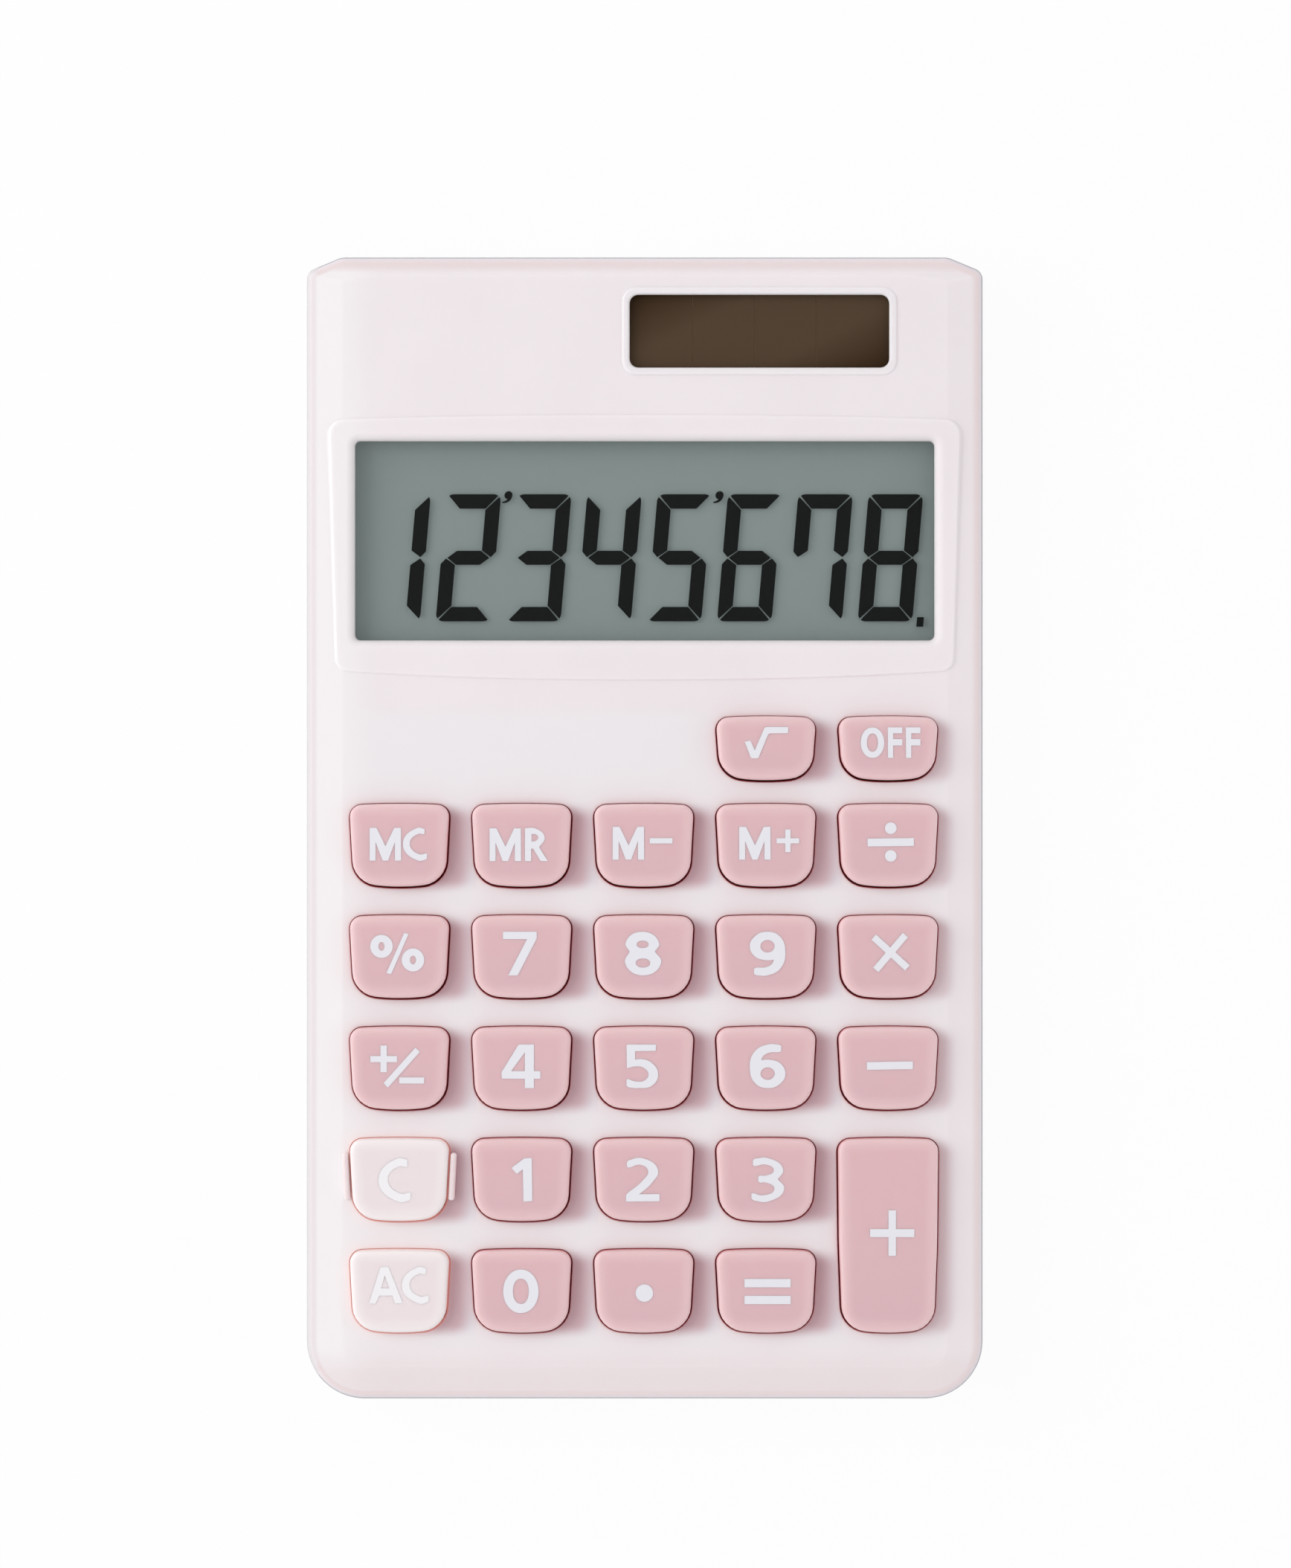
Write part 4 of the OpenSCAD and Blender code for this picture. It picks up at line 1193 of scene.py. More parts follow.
def mark_rim(cap, rim):
    """Writes how close to the key's outline each point lies, and how far towards the key's near end: the
    painted light round the rim and along the key follows these.
    """
    low, high = min(a.y for a, _ in rim), max(a.y for a, _ in rim)
    near = cap.data.attributes.new("near", "FLOAT", "POINT")
    for vertex, value in zip(cap.data.vertices, near.data):
        value.value = (high - vertex.co.y) / (high - low)
    attribute = cap.data.attributes.new("rim", "FLOAT", "POINT")
    for vertex, value in zip(cap.data.vertices, attribute.data):
        spot = vertex.co.to_2d()
        reach = min((spot - near_point(spot, a, b)).length for a, b in rim)
        value.value = max(0.0, 1 - reach / RIM_REACH)


def near_point(spot, start, end):
    """The point of a straight edge that lies nearest to a spot."""
    along = end - start
    share = max(0.0, min(1.0, (spot - start).dot(along) / along.length_squared))
    return start + along * share


class CALCULATOR_OT_keys(bpy.types.Operator):
    """Model the three shapes of key, and place all 26"""

    bl_idname = "calculator.keys"
    bl_label = "Keys"

    def execute(self, context):
        keys, colours = context.scene.calculator_keys, context.scene.calculator_colours
        # The pink keys: painted light at the far end and round the rim, painted shade on the side walls
        tones = (colours.key, colours.key_near_painted_shade, colours.key_rim_painted_light, colours.key_wall_painted_shade)
        pink = key_plastic("pink_key_plastic", *tones)
        # The pale keys: painted light round the rim and on the side walls, which they also give off
        tones = (colours.pale, colours.pale, colours.pale_rim_painted_light, colours.pale_wall_painted_light)
        pale = key_plastic("pale_key_plastic", *tones, depth=0.35 * MM, painted_emission=0.1)
        shapes = {kind: key_cap(kind, keys) for kind in ("plain", "short", "tall")}
        for name in KEYS:
            place = key_place(name)
            cap = copy_to(shapes[key_kind(name)], name.replace("key_", "cap_"), place.x, place.y)
            is_pale = name in PALE_KEYS
            slot = "key_pale" if is_pale else "key_pink"
            settle(cap, name, slot, pale if is_pale else pink, name)
        for shape in shapes.values():
            bpy.data.objects.remove(shape)
        return {"FINISHED"}


# ---- Legends ----

# Each glyph is a list of outlines on a height of 100. A point is x and y, with a third value where the
# line runs smoothly through it. An oval is its middle and its two half widths.
GLYPHS = {
    "0": [("oval", 40.6, 50, 40.6, 50), ("oval", 40.6, 50, 18.3, 29)],
    "1": [[
        (29, 99.5), (44.5, 100), (45.7, 97.5), (46.7, 1.5), (26.6, 0), (25, 74.4), (11.6, 63.3),
        (0, 75.9), (0, 78),
    ]],
    "2": [[
        (1.5, 89), (6, 94.7), (35.3, 100, 1), (73.4, 72, 1), (59.4, 43, 1), (30.4, 17), (75, 17.4),
        (77, 15), (77, 1), (1.5, 0), (0, 2), (0, 15), (5, 20.8), (37.7, 47.8, 1), (50.7, 70.5, 1),
        (33, 84.5, 1), (11, 79), (6.3, 77.8), (3, 79),
    ]],
    "3": [[
        (4.4, 94.7), (8.8, 98.5), (38, 100, 1), (73.7, 73.2, 1), (61.5, 51.7), (76, 29.3, 1),
        (38, 0, 1), (6.3, 2.4), (1, 7), (1, 19), (6.3, 19), (28, 14.6, 1), (53.7, 29.3, 1),
        (35.6, 43.4, 1), (21, 43.4), (16.6, 46), (16.6, 58), (21, 60), (35.6, 60, 1), (52.2, 72.2, 1),
        (33, 85, 1), (13.7, 82), (6.3, 81.5), (4.4, 84.9),
    ]],
    "4": [
        [
            (40.6, 100), (74.3, 100), (74.3, 39), (89, 39), (89, 21.5), (74.3, 21.5), (74.3, 0),
            (53.5, 0), (53.5, 21.5), (1, 21.5), (0, 36), (38, 98),
        ],
        [(53.5, 82), (53.5, 39), (22.3, 39)],
    ],
    "5": [[
        (1, 97), (4, 100), (68.6, 100), (68, 85.5), (20.8, 84.5), (20.8, 65.2), (33.8, 66.7, 1),
        (58, 58.4, 1), (73.4, 32.8, 1), (60.4, 6.3, 1), (26.6, 0, 1), (7.2, 1.4), (1, 5.3), (1, 19.8),
        (4.8, 20.8), (24, 15, 1), (43.5, 18.4, 1), (51.2, 32.8, 1), (38.6, 47.3, 1), (24, 49.8, 1),
        (1.9, 45.4),
    ]],
    "7": [[(0, 100), (77, 100), (77, 84), (33.5, 0), (12, 0), (55, 83), (0, 83)]],
    "8": [
        [
            (39, 100, 1), (77.7, 73.5, 1), (68, 54.5), (82.5, 29.4, 1), (41, 0, 1), (0, 28.4, 1),
            (10.4, 54.5), (1, 74.4, 1),
        ],
        ("oval", 40, 71, 13.7, 8.5),
        ("oval", 40.8, 28.4, 16.6, 10.4),
    ],
    "9": [
        [
            (40.5, 100, 1), (69, 89, 1), (81.4, 55, 1), (71, 17, 1), (40.5, 0, 1), (15.7, 0),
            (9.5, 3.3), (9.5, 15.2), (15.7, 18), (37, 19, 1), (51, 27, 1), (55, 35.7), (37, 34.8, 1),
            (11.5, 43.5, 1), (0, 67, 1), (12, 90, 1),
        ],
        ("oval", 40.5, 66.7, 16.2, 14.3),
    ],
    "O": [("oval", 38.6, 50, 38.6, 50), ("oval", 38.6, 50, 18, 29.8)],
    "F": [[
        (0, 100), (48, 100), (48, 80.6), (18, 80.6), (18, 61.7), (48, 61.7), (48, 40.8), (18, 40.8),
        (18, 0), (1, 0),
    ]],
    "C": [[
        (66, 96.5), (44.8, 100, 1), (0, 49.3, 1), (47.3, 0, 1), (69.7, 3), (73.6, 7), (73.6, 22),
        (69.7, 22), (49.8, 19.4, 1), (21, 51.7, 1), (47.3, 81.6, 1), (62, 80), (66, 81.6),
    ]],
    "M": [[
        (0, 100), (21, 100), (48.4, 44), (75, 100), (95.4, 100), (96, 0), (77, 0), (77, 56), (56.2, 0),
        (40, 0), (18.3, 56), (18.3, 0), (0, 0),
    ]],
    "R": [
        [
            (0, 100), (30, 100, 1), (60, 73, 1), (43, 42), (70, 0), (48, 0), (25, 38), (19, 38),
            (19, 0), (0, 0),
        ],
        [(20, 82), (31, 82, 1), (40.5, 72, 1), (31, 61, 1), (20, 60)],
    ],
    "A": [
        [(31.5, 100), (53.6, 100), (92.8, 1), (71.4, 0), (64.3, 22), (28.6, 22), (18.5, 0), (0, 0)],
        [(43.5, 77), (56, 42), (33.3, 42)],
    ],
}
GLYPHS["6"] = [
    [(81.4 - p[0], 100 - p[1], *p[2:]) for p in GLYPHS["9"][0]],
    ("oval", 40.9, 33.3, 16.2, 14.3),
]

# How far the whole print sits from the keys' middles, in millimetres
PRINT_SHIFT = (-0.12, 0.25)

# What is printed on a key, how far its middle lies from the print's, its height and the gap between letters
WORDS = {
    "key_7": ("7", -0.04, 0.04, 4.5, 0),
    "key_8": ("8", 0.06, 0.04, 4.5, 0),
    "key_9": ("9", 0.27, 0.04, 4.5, 0),
    "key_4": ("4", 0.07, -0.07, 4.5, 0),
    "key_5": ("5", -0.05, -0.07, 4.5, 0),
    "key_6": ("6", 0.27, -0.07, 4.5, 0),
    "key_1": ("1", 0.19, -0.26, 4.5, 0),
    "key_2": ("2", 0.02, -0.26, 4.5, 0),
    "key_3": ("3", 0.27, -0.26, 4.5, 0),
    "key_0": ("0", 0.07, -0.24, 4.5, 0),
    "key_memory_clear": ("MC", 0.05, -0.2, 3.38, 0.18),
    "key_memory_recall": ("MR", -0.15, -0.25, 3.38, 0.4),
    "key_off": ("OFF", 0.33, 0.26, 3.15, 0.35),
    "key_clear": ("C", -0.33, -0.3, 4.5, 0),
    "key_all_clear": ("AC", 0.1, 0.37, 3.76, -0.1),
}


def bar(x, y, width, height, degrees=0):
    """A straight bar about a point."""
    return [corner[:2] for corner in box_corners(x, y, width, height, 0, math.radians(degrees))]


# Signs in millimetres: each is its place on its key and a list of shapes that are printed over each other
SIGNS = {
    "key_plus": (0.5, 0, [[bar(0, 0, 4.56, 0.82)], [bar(0, 0, 0.77, 4.7)]]),
    "key_minus": (0.26, 0, [[bar(0, 0, 4.74, 0.8, 1)]]),
    "key_multiply": (0.33, 0.15, [[bar(0, 0, 4.71, 0.72, -42.5)], [bar(0, 0, 4.71, 0.72, 49.7)]]),
    "key_divide": (0.35, 0, [
        [bar(0, 0, 4.76, 0.82, 0.7)], [("oval", 0, 1.45, 0.6, 0.6)], [("oval", 0, -1.4, 0.6, 0.6)],
    ]),
    "key_equals": (0.27, -0.27, [[bar(0, 0.865, 4.76, 0.86)], [bar(0, -0.865, 4.76, 0.86)]]),
    "key_decimal": (0.18, -0.43, [[("oval", 0, 0, 0.9, 0.9)]]),
    "key_percent": (-0.06, 0.04, [
        [("oval", -1.62, 0.74, 1.16, 1.19), ("oval", -1.62, 0.74, 0.31, 0.44)],
        [("oval", 1.62, -0.66, 1.16, 1.19), ("oval", 1.62, -0.66, 0.31, 0.44)],
        [[(0.71, 2.11), (1.17, 2.02), (-0.62, -2.11), (-1.12, -2.02)]],
    ]),
    "key_square_root": (0.15, 0.26, [[[
        (-2.23, 0.12), (-1.65, 0.21), (-1.20, -0.78), (-0.21, 1.50), (-0.01, 1.62), (2.23, 1.62),
        (2.23, 0.98), (0.34, 0.95), (0.18, 0.85), (-0.82, -1.56), (-0.95, -1.62), (-1.50, -1.61),
        (-1.61, -1.53), (-2.23, 0.05),
    ]]]),
    "key_sign": (-0.06, -0.1, [
        [bar(-1.4, 0.77, 2.74, 0.64)],
        [bar(-1.4, 0.795, 0.66, 2.75)],
        [[(1.86, 1.95), (2.33, 1.51), (-0.96, -2.17), (-1.42, -1.71)]],
        [bar(1.49, -1.43, 2.56, 0.64)],
    ]),
}
MEMORY_SIGNS = {
    "key_memory_minus": (0, -0.1, [[bar(1.905, 0.25, 2.34, 0.55)]]),
    "key_memory_plus": (0.42, -0.1, [[bar(1.94, 0.25, 2.32, 0.53)], [bar(1.94, 0.25, 0.55, 2.34)]]),
}


def spline(curve, outline, scale, x, y):
    """Adds one outline to a flat curve."""
    if outline[0] == "oval":
        _, cx, cy, rx, ry = outline
        outline = [(cx, cy + ry, 1), (cx + rx, cy, 1), (cx, cy - ry, 1), (cx - rx, cy, 1)]
    line = curve.splines.new("BEZIER")
    line.bezier_points.add(len(outline) - 1)
    line.use_cyclic_u = True
    for point, spot in zip(line.bezier_points, outline):
        point.co = (x + spot[0] * scale, y + spot[1] * scale, 0)
        kind = "AUTO" if len(spot) > 2 else "VECTOR"
        point.handle_left_type = point.handle_right_type = kind


def printed(name, outlines, scale, x, y, thickness):
    """A thin flat shape from its outlines, as a mesh on the plane z = 0."""
    curve = bpy.data.curves.new(name, "CURVE")
    curve.dimensions = "2D"
    curve.fill_mode = "BOTH"
    curve.extrude = thickness / 2
    curve.resolution_u = 10
    for outline in outlines:
        spline(curve, outline, scale, x, y)
    piece = bpy.data.objects.new(name, curve)
    bpy.context.scene.collection.objects.link(piece)
    activate(piece)
    bpy.ops.object.convert(target="MESH")
    return close_up(bpy.context.object)


def glyph_width(glyph):
    """How far right a glyph reaches, on its height of 100."""

    def right(outline):
        if outline[0] == "oval":
            return outline[1] + outline[3]
        return max(p[0] for p in outline)

    return max(right(outline) for outline in GLYPHS[glyph])


def word(text, height, gap, thickness, left=None):
    """Letters in a row, as separate flat pieces centred on the origin, or starting from its left."""
    scale = height / 100
    width = sum(glyph_width(g) for g in text) * scale + gap * (len(text) - 1)
    x = -width / 2 if left is None else left
    pieces = []
    for glyph in text:
        place = (x * MM, -height / 2 * MM)
        pieces.append(printed("letter", GLYPHS[glyph], scale * MM, *place, thickness))
        x += glyph_width(glyph) * scale + gap
    return pieces


def overprint(shapes, thickness):
    """Shapes that may cross, made into one flat piece."""
    pieces = [printed("sign", shape, MM, 0, 0, thickness) for shape in shapes]
    first = pieces[0]
    for other in pieces[1:]:
        combine(first, other, "UNION")
    return first


class CALCULATOR_OT_legends(bpy.types.Operator):
    """Print the figures and signs on the keys"""

    bl_idname = "calculator.legends"
    bl_label = "Legends"

    def execute(self, context):
        thickness = context.scene.calculator_keys.legend
        colours = context.scene.calculator_colours
        ink = print_ink("legend_ink", colours.legend)
        pale_ink = print_ink("pale_legend_ink", colours.pale_legend)
        for name, (text, x, y, height, gap) in WORDS.items():
            own = pale_ink if name in PALE_KEYS else ink
            self.place(name, word(text, height, gap, thickness), x, y, own, thickness)
        for name, (x, y, shapes) in SIGNS.items():
            self.place(name, [overprint(shapes, thickness)], x, y, ink, thickness)
        for name, (x, y, shapes) in MEMORY_SIGNS.items():
            letter = word("M", 3.38, 0, thickness, left=-3.08)
            self.place(name, letter + [overprint(shapes, thickness)], x, y, ink, thickness)
        missing = set(KEYS) - set(WORDS) - set(SIGNS) - set(MEMORY_SIGNS)
        if missing:
            raise RuntimeError(f"no legend for {sorted(missing)}")
        return {"FINISHED"}

    def place(self, name, pieces, x, y, ink, thickness):
        legend = join(pieces)
        legend.name = name.replace("key_", "legend_")
        place = key_place(name) + Vector(((x + PRINT_SHIFT[0]) * MM, (y + PRINT_SHIFT[1]) * MM, 0))
        place.z = CROWN_Z - thickness / 2
        legend.data.transform(Matrix.Translation(place))
        settle(legend, name, "key_pale", ink)


# ---- Keypad ----


class CALCULATOR_OT_keypad(bpy.types.Operator):
    """Model the rubber sheet and a dome under every key"""

    bl_idname = "calculator.keypad"
    bl_label = "Keypad"

    def execute(self, context):
        low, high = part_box("keypad_mat")
        material = rubber("keypad_rubber", (0.62, 0.58, 0.58))
        cut, radius = 3.2 * MM, 0.5 * MM
        corners = [
            (low.x + cut, low.y, 0),
            (high.x - cut, low.y, 0),
            (high.x, low.y + cut, 0),
            (high.x, high.y, radius),
            (low.x, high.y, radius),
            (low.x, low.y + cut, 0),
        ]
        top = low.z + 0.8 * MM
        sheet = solid("keypad_sheet", corners, low.z, [(0, 0.7 * MM), (0.1 * MM, 0.1 * MM)])
        smooth(sheet)
        settle(sheet, "casing", "keypad_rubber", material, "keypad_mat")
        pattern = self.dome(top, high.z)
        for name in KEYS:
            place = key_place(name)
            for i, y in enumerate(STEM_OFFSETS[key_kind(name)]):
                mark = "" if i == 0 else "_upper"
                dome = copy_to(pattern, name.replace("key_", "dome_") + mark, place.x, place.y + y)
                settle(dome, "casing", "keypad_rubber", material)
                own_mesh(dome)
        bpy.data.objects.remove(pattern)
        return {"FINISHED"}

    def dome(self, low, high):
        """A cone of thin rubber with a rounded shoulder and a flat crown."""
        dome = plate("dome", circle_corners(0, 0, 3.1 * MM, 32), low - 0.02 * MM)
        foot, shoulder = (0.15 * MM, 0.08 * MM), [(0.15 * MM, 0.12 * MM), (0.15 * MM, 0.07 * MM)]
        pull(dome, [foot, (0.75 * MM, high - low - 0.25 * MM)] + shoulder)
        with editing(dome):
            pick(dome, "EDGE", lambda e: e.is_boundary)
            bpy.ops.mesh.edge_face_add()
        close_up(dome)
        smooth(dome, 50)
        return dome


# ---- Back fittings ----


class CALCULATOR_OT_back(bpy.types.Operator):
    """Model the battery cover, the feet and the screws of the back"""

    bl_idname = "calculator.back"
    bl_label = "Back fittings"

    def execute(self, context):
        colours = context.scene.calculator_colours
        self.cover(moulded("cover_plastic", colours.shell, 0.45, 0.12))
        steel = metal("screw_steel", (0.55, 0.55, 0.56), 0.25)
        casing = [self.screw(p, 2.2 * MM, 1.9 * MM, 1.3 * MM, 0.8 * MM, 5 * MM) for p in screw_places()]
        self.finish_screws(casing, "casing_screws", steel, "case_screws")
        place = box_middle("battery_cover_screw")
        cover = self.screw(place, BACK_Z + 0.6 * MM, 1.5 * MM, 0.55 * MM, 0.65 * MM, 3 * MM)
        self.finish_screws([cover], "cover_screw", steel, "battery_cover_screw")
        self.feet(rubber("foot_rubber", (0.30, 0.28, 0.285)))
        return {"FINISHED"}

    def finish_screws(self, pieces, name, steel, node):
        screws = join(pieces)
        screws.name = name
        smooth(screws)
        settle(screws, "casing", "screw_steel", steel, node)

    def cover(self, material):
        """The battery cover, with its tongue, its screw's holes and its grip grooves."""
        low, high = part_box("battery_cover")
        width = high.x - low.x - MM
        centre_x = high.x - width / 2
        centre_y = (low.y + high.y) / 2
        edge = 0.2 * MM
        corners = box_corners(centre_x, centre_y, width, high.y - low.y, 1.1 * MM)
        steps = [(0, high.z - low.z - edge)] + roll_over(edge, 4)
        cover = solid("battery_door", corners, high.z, steps, down=True)
        tongue = box_corners(low.x + MM, centre_y, 2 * MM, 4 * MM, 0.2 * MM)
        combine(cover, solid("tongue", tongue, low.z + 0.55 * MM, [(0, 0.45 * MM)]), "UNION")
        screw = box_middle("battery_cover_screw")
        for start, end, radius in ((-MM, 0.6 * MM, 1.65 * MM), (0, 3 * MM, 0.85 * MM)):
            hole = peg("hole", screw.x, screw.y, low.z + start, low.z + end, radius)
            combine(cover, hole, "DIFFERENCE")
        for i in range(4):
            x = low.x + (3.2 + 1.1 * i) * MM
            groove = box_corners(x, centre_y, 0.5 * MM, 6 * MM, 0.24 * MM)
            combine(cover, solid("groove", groove, low.z - MM, [(0, 1.25 * MM)]), "DIFFERENCE")
        smooth(cover)
        settle(cover, "casing", "casing", material, "battery_cover")

    def screw(self, place, seat, head_r, head_h, shank_r, reach):
        """A screw with its head below and its point upwards, and a cross recess in the head."""
        edge = min(0.35 * MM, head_h * 0.5)
        steps = [(0, head_h - edge)] + roll_over(edge * 1.4, 5, edge)
        head = solid("screw", circle_corners(place.x, place.y, head_r, 32), seat, steps, down=True)
        top = seat + reach - shank_r
        shank = peg("shank", place.x, place.y, seat - 0.05 * MM, top, shank_r, 20)
        with editing(shank):
            pick(shank, "FACE", lambda f: level(f, top))
            bpy.ops.mesh.inset(thickness=shank_r * 0.8, depth=shank_r)
        combine(head, shank, "UNION")
        for degrees in (20, 110):
            turn = math.radians(degrees)
            arm = box_corners(place.x, place.y, head_r * 1.24, 0.44 * MM, 0.12 * MM, turn)
            arm = solid("arm", arm, seat - head_h - MM, [(0, MM + head_h * 0.5)])
            combine(head, arm, "DIFFERENCE")
        return head

    def feet(self, material):
        """Four round feet, each with a shallow dish in its sole."""
        low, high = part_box("rubber_feet")
        # A hair shorter than the node's box
        height = high.z - low.z - 0.001 * MM
        radius, edge, dish = 4 * MM, 0.25 * MM, (0.35 * MM, -0.06 * MM)
        steps = [(0, height - edge)] + roll_over(edge, 4) + [dish]
        rings = [circle_corners(place.x, place.y, radius, 48) for place in foot_places()]
        piece = join([solid("foot", ring, high.z, steps, down=True) for ring in rings])
        piece.name = "feet"
        smooth(piece)
        settle(piece, "casing", "foot_rubber", material, "rubber_feet")


# ---- Finishes of what the frame already shows ----


class CALCULATOR_OT_panes(bpy.types.Operator):
    """Model the clear panes of the display and of the solar cell"""

    bl_idname = "calculator.panes"
    bl_label = "Panes"

    def execute(self, context):
        cover = clear("display_pane", (0.02, 0.025, 0.025), 0.03)
        glass = clear("display_glass", (0.02, 0.025, 0.025), 0.02, 0.05)
        self.pane("display_window", cover, "clear_plastic", 0.6 * MM)
        self.pane("lcd_front_glass", glass, "lcd_glass", 0.1 * MM)
        self.pane("lcd_rear_glass", glass, "lcd_glass", 0.1 * MM)
        shine = clear("solar_pane", (0.03, 0.02, 0.015), 0.04, 0.04)
        self.pane("solar_glass", shine, "solar_glass", 1.1 * MM, PANE_TRIM)
        return {"FINISHED"}

    def pane(self, node, material, slot, radius, trim=0):
        """A pane a hair thinner than its place, so that it never lies in one plane with its neighbours."""
        low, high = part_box(node)
        centre, size = box_middle(node), high - low
        play, edge = 0.01 * MM, 0.08 * MM
        inset = 2 * (edge + trim)
        corners = box_corners(centre.x, centre.y, size.x - inset, size.y - inset, radius)
        steps = [(-edge, edge), (0, size.z - 2 * play - 2 * edge), (edge, edge)]
        pane = solid(node.replace("_glass", "_pane") + "_piece", corners, low.z + play, steps)
        smooth(pane)
        settle(pane, "casing", slot, material, node)


class CALCULATOR_OT_display(bpy.types.Operator):
    """Finish the display's figures and reflector, and the solar cell's film"""

    bl_idname = "calculator.display"
    bl_label = "Display and solar cell"

    def execute(self, context):
        colours = context.scene.calculator_colours
        paint_node("lcd_segments", print_ink("display_figures", colours.ink, 0.08))
        paint_node("lcd_reflector", reflector_film("display_reflector", colours.reflector))
        paint_node("display_gasket", rubber("gasket_rubber", (0.03, 0.03, 0.03)))
        paint_node("display_pad", foam_sheet("pad_foam", (0.1, 0.1, 0.11)))
        paint_node("display_ribbon", print_ink("ribbon_film", (0.5, 0.25, 0.05)))
        paint_node("solar_cells", solar_film("solar_film", colours.solar, colours.solar_dark))
        paint_node("solar_backing", print_ink("solar_backing", (0.2, 0.1, 0.04)))
        return {"FINISHED"}


class CALCULATOR_OT_electronics(bpy.types.Operator):
    """Finish the board, its parts, the leads and the battery's contacts"""

    bl_idname = "calculator.electronics"
    bl_label = "Electronics"

    def execute(self, context):
        paint_node("circuit_board", board_laminate("board_laminate"))
        paint_node("contact_pads", print_ink("carbon_ink", (0.02, 0.02, 0.022)))
        paint_node("contact_pills", rubber("carbon_pill", (0.02, 0.02, 0.022)))
        paint_node("chip_cap", rubber("chip_resin", (0.008, 0.008, 0.009), 0.2))
        paint_node("capacitors", rubber("ceramic_body", (0.34, 0.21, 0.11), 0.35))
        paint_node("resistors", rubber("resistor_body", (0.02, 0.02, 0.022), 0.3))
        paint_node("board_screws", metal("board_screw_steel", (0.5, 0.5, 0.5), 0.3))
        paint_node("button_cell", metal("cell_steel", (0.6, 0.6, 0.6), 0.2, 600))
        paint_node("cell_contact_plus", metal("contact_brass", (0.7, 0.5, 0.2), 0.25))
        paint_node("cell_contact_minus", metal("contact_brass_low", (0.7, 0.5, 0.2), 0.25))
        for pole, tone in (("plus", (0.4, 0.02, 0.02)), ("minus", (0.02, 0.02, 0.02))):
            for start in ("solar_lead_", "cell_lead_"):
                paint_node(start + pole, rubber(start + pole + "_jacket", tone, 0.4))
        return {"FINISHED"}


# ---- Stage ----


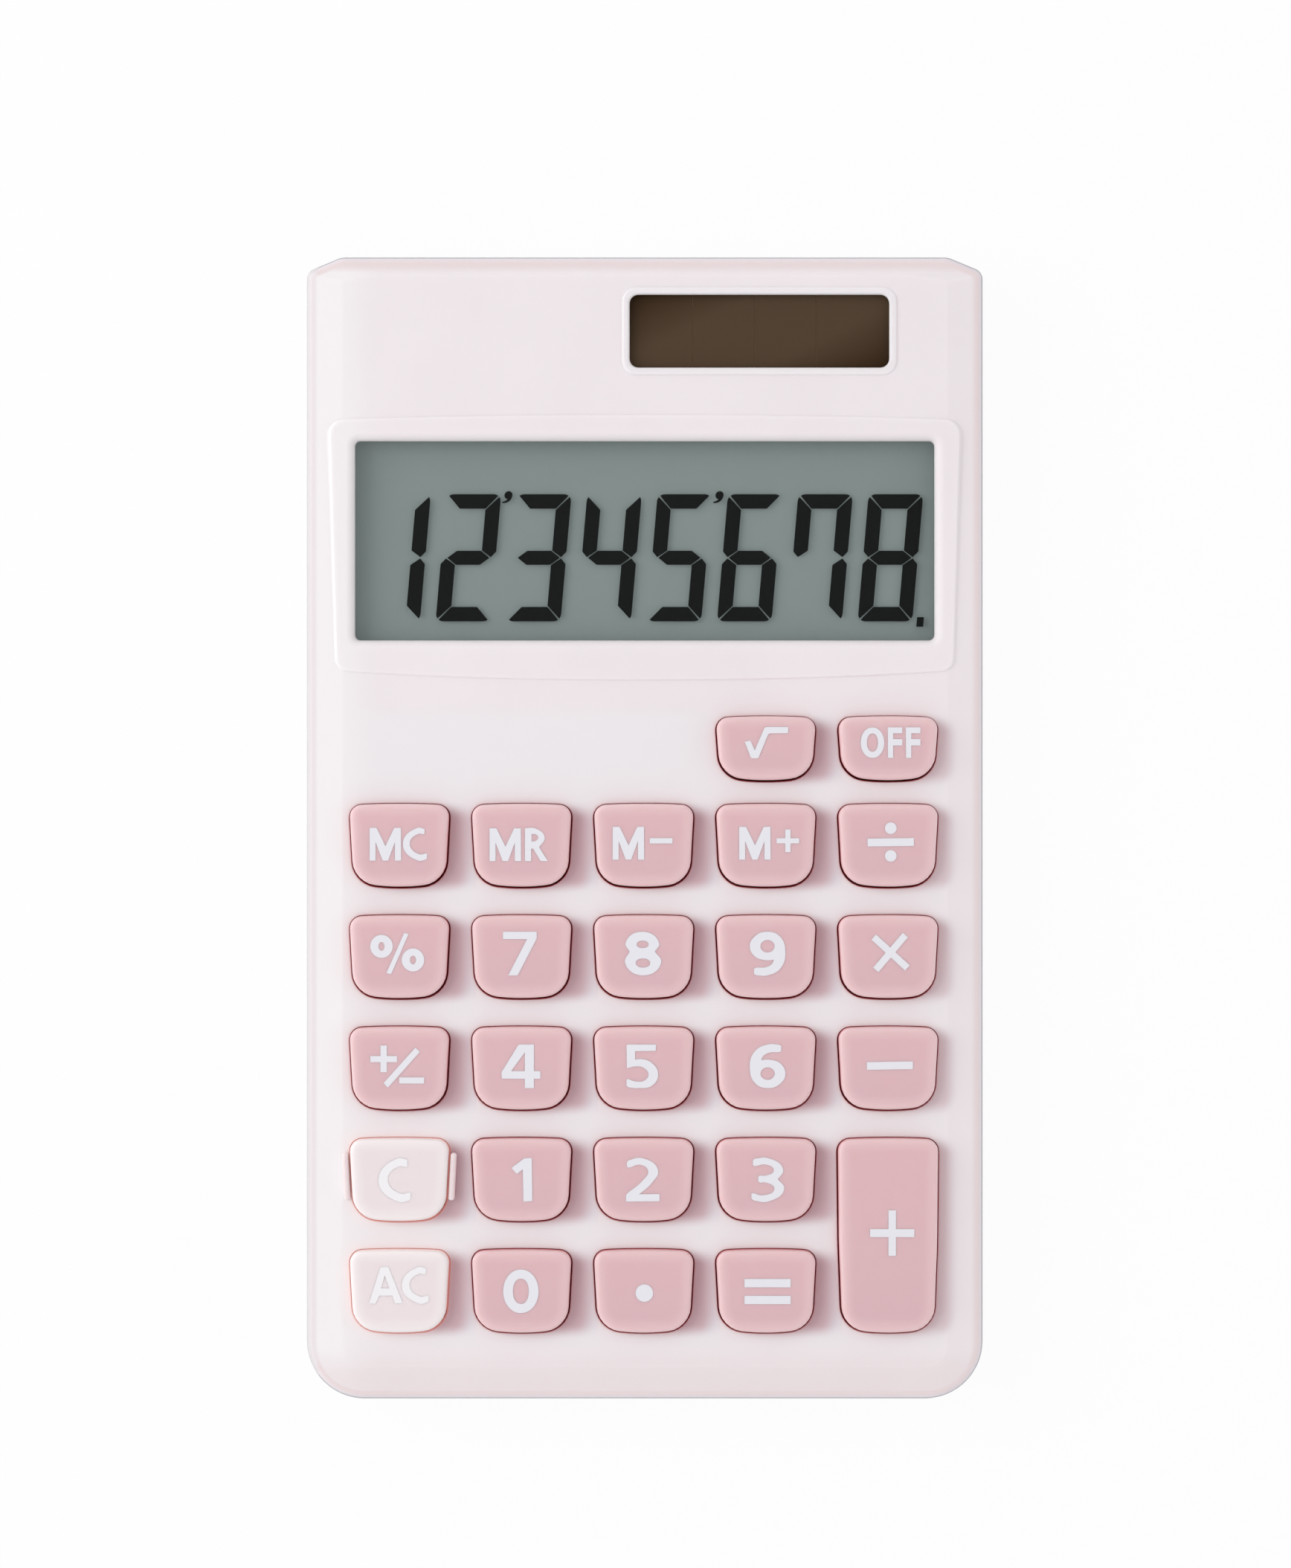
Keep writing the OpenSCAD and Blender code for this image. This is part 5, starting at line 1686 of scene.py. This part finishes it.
class CALCULATOR_OT_stage(bpy.types.Operator):
    """Set the floor, the light and the camera"""

    bl_idname = "calculator.stage"
    bl_label = "Stage"

    def execute(self, context):
        scene = context.scene
        scene.view_settings.view_transform = "Standard"
        self.floor()
        self.world(scene)
        self.lamp("key_light", (-0.732, 0.156, 0.585), 0.68, 4.3, (1.0, 0.99, 0.985))
        self.lamp("fill_light", (0.75, -0.12, 0.2), 0.6, 0.85, (1.0, 0.98, 0.97))
        self.camera(scene)
        return {"FINISHED"}

    def floor(self):
        """A white sheet under the object, which looks evenly lit."""
        bpy.ops.object.select_all(action="DESELECT")
        bpy.ops.mesh.primitive_plane_add(size=4)
        floor = bpy.context.object
        floor.name = "floor"
        floor.data.transform(Matrix.Translation((0, 0, CAD_LOW.z - 0.02 * MM)))
        finish = Finish("floor_paper")
        ray = finish.node("ShaderNodeLightPath").socket.node.outputs
        seen = finish.largest(Value(finish, ray["Is Camera Ray"]), Value(finish, ray["Is Glossy Ray"]))
        seen = finish.largest(seen, Value(finish, ray["Is Transmission Ray"]))
        paper = finish.node("ShaderNodeBsdfDiffuse", {"Color": (0.86, 0.86, 0.87)})
        light = finish.node("ShaderNodeEmission", {"Color": (1, 1, 1), "Strength": 1.0})
        mixed = finish.node("ShaderNodeMixShader", {0: 0.15 + 0.78 * seen, 1: paper, 2: light})
        finish.node_output(mixed)
        floor.data.materials.append(finish.material)

    def world(self, scene):
        world = bpy.data.worlds.new("studio")
        scene.world = world
        world.use_nodes = True
        sky = world.node_tree.nodes["Background"]
        sky.inputs["Color"].default_value = (1.0, 0.99, 1.0, 1)
        sky.inputs["Strength"].default_value = 0.72

    def lamp(self, name, spot, size, power, tint):
        data = bpy.data.lights.new(name, "AREA")
        data.energy = power
        data.size = size
        data.color = tint
        lamp = bpy.data.objects.new(name, data)
        lamp.location = spot
        lamp.rotation_euler = (-Vector(spot)).to_track_quat("-Z", "Y").to_euler()
        bpy.context.scene.collection.objects.link(lamp)

    def camera(self, scene):
        data = bpy.data.cameras.new("camera")
        data.lens = 100
        data.sensor_width = 36
        camera = bpy.data.objects.new("camera", data)
        camera.location = (0.08 * MM, 4.55 * MM, FACE_Z + 450.1 * MM)
        scene.collection.objects.link(camera)
        scene.camera = camera


class CALCULATOR_PT_panel(bpy.types.Panel):
    bl_label = "Desk calculator"
    bl_idname = "CALCULATOR_PT_panel"
    bl_space_type = "VIEW_3D"
    bl_region_type = "UI"
    bl_category = "Calculator"

    def draw(self, context):
        for operator in OPERATORS:
            self.layout.operator(operator.bl_idname)
        for group in ("calculator_casing", "calculator_keys", "calculator_colours"):
            settings = getattr(context.scene, group)
            box = self.layout.box()
            for name in settings.__annotations__:
                box.prop(settings, name)


OPERATORS = (
    CALCULATOR_OT_front_casing,
    CALCULATOR_OT_rear_casing,
    CALCULATOR_OT_keys,
    CALCULATOR_OT_legends,
    CALCULATOR_OT_keypad,
    CALCULATOR_OT_back,
    CALCULATOR_OT_panes,
    CALCULATOR_OT_display,
    CALCULATOR_OT_electronics,
    CALCULATOR_OT_stage,
)
GROUPS = {"calculator_casing": CasingSizes, "calculator_keys": KeySizes, "calculator_colours": Colours}


def register():
    for name, group in GROUPS.items():
        bpy.utils.register_class(group)
        setattr(bpy.types.Scene, name, PointerProperty(type=group))
    for operator in OPERATORS:
        bpy.utils.register_class(operator)
    bpy.utils.register_class(CALCULATOR_PT_panel)


def unregister():
    bpy.utils.unregister_class(CALCULATOR_PT_panel)
    for operator in reversed(OPERATORS):
        bpy.utils.unregister_class(operator)
    for name, group in GROUPS.items():
        delattr(bpy.types.Scene, name)
        bpy.utils.unregister_class(group)


def main():
    register()
    for operator in OPERATORS:
        getattr(bpy.ops.calculator, operator.bl_idname.split(".")[1])()


if __name__ == "__main__":
    main()
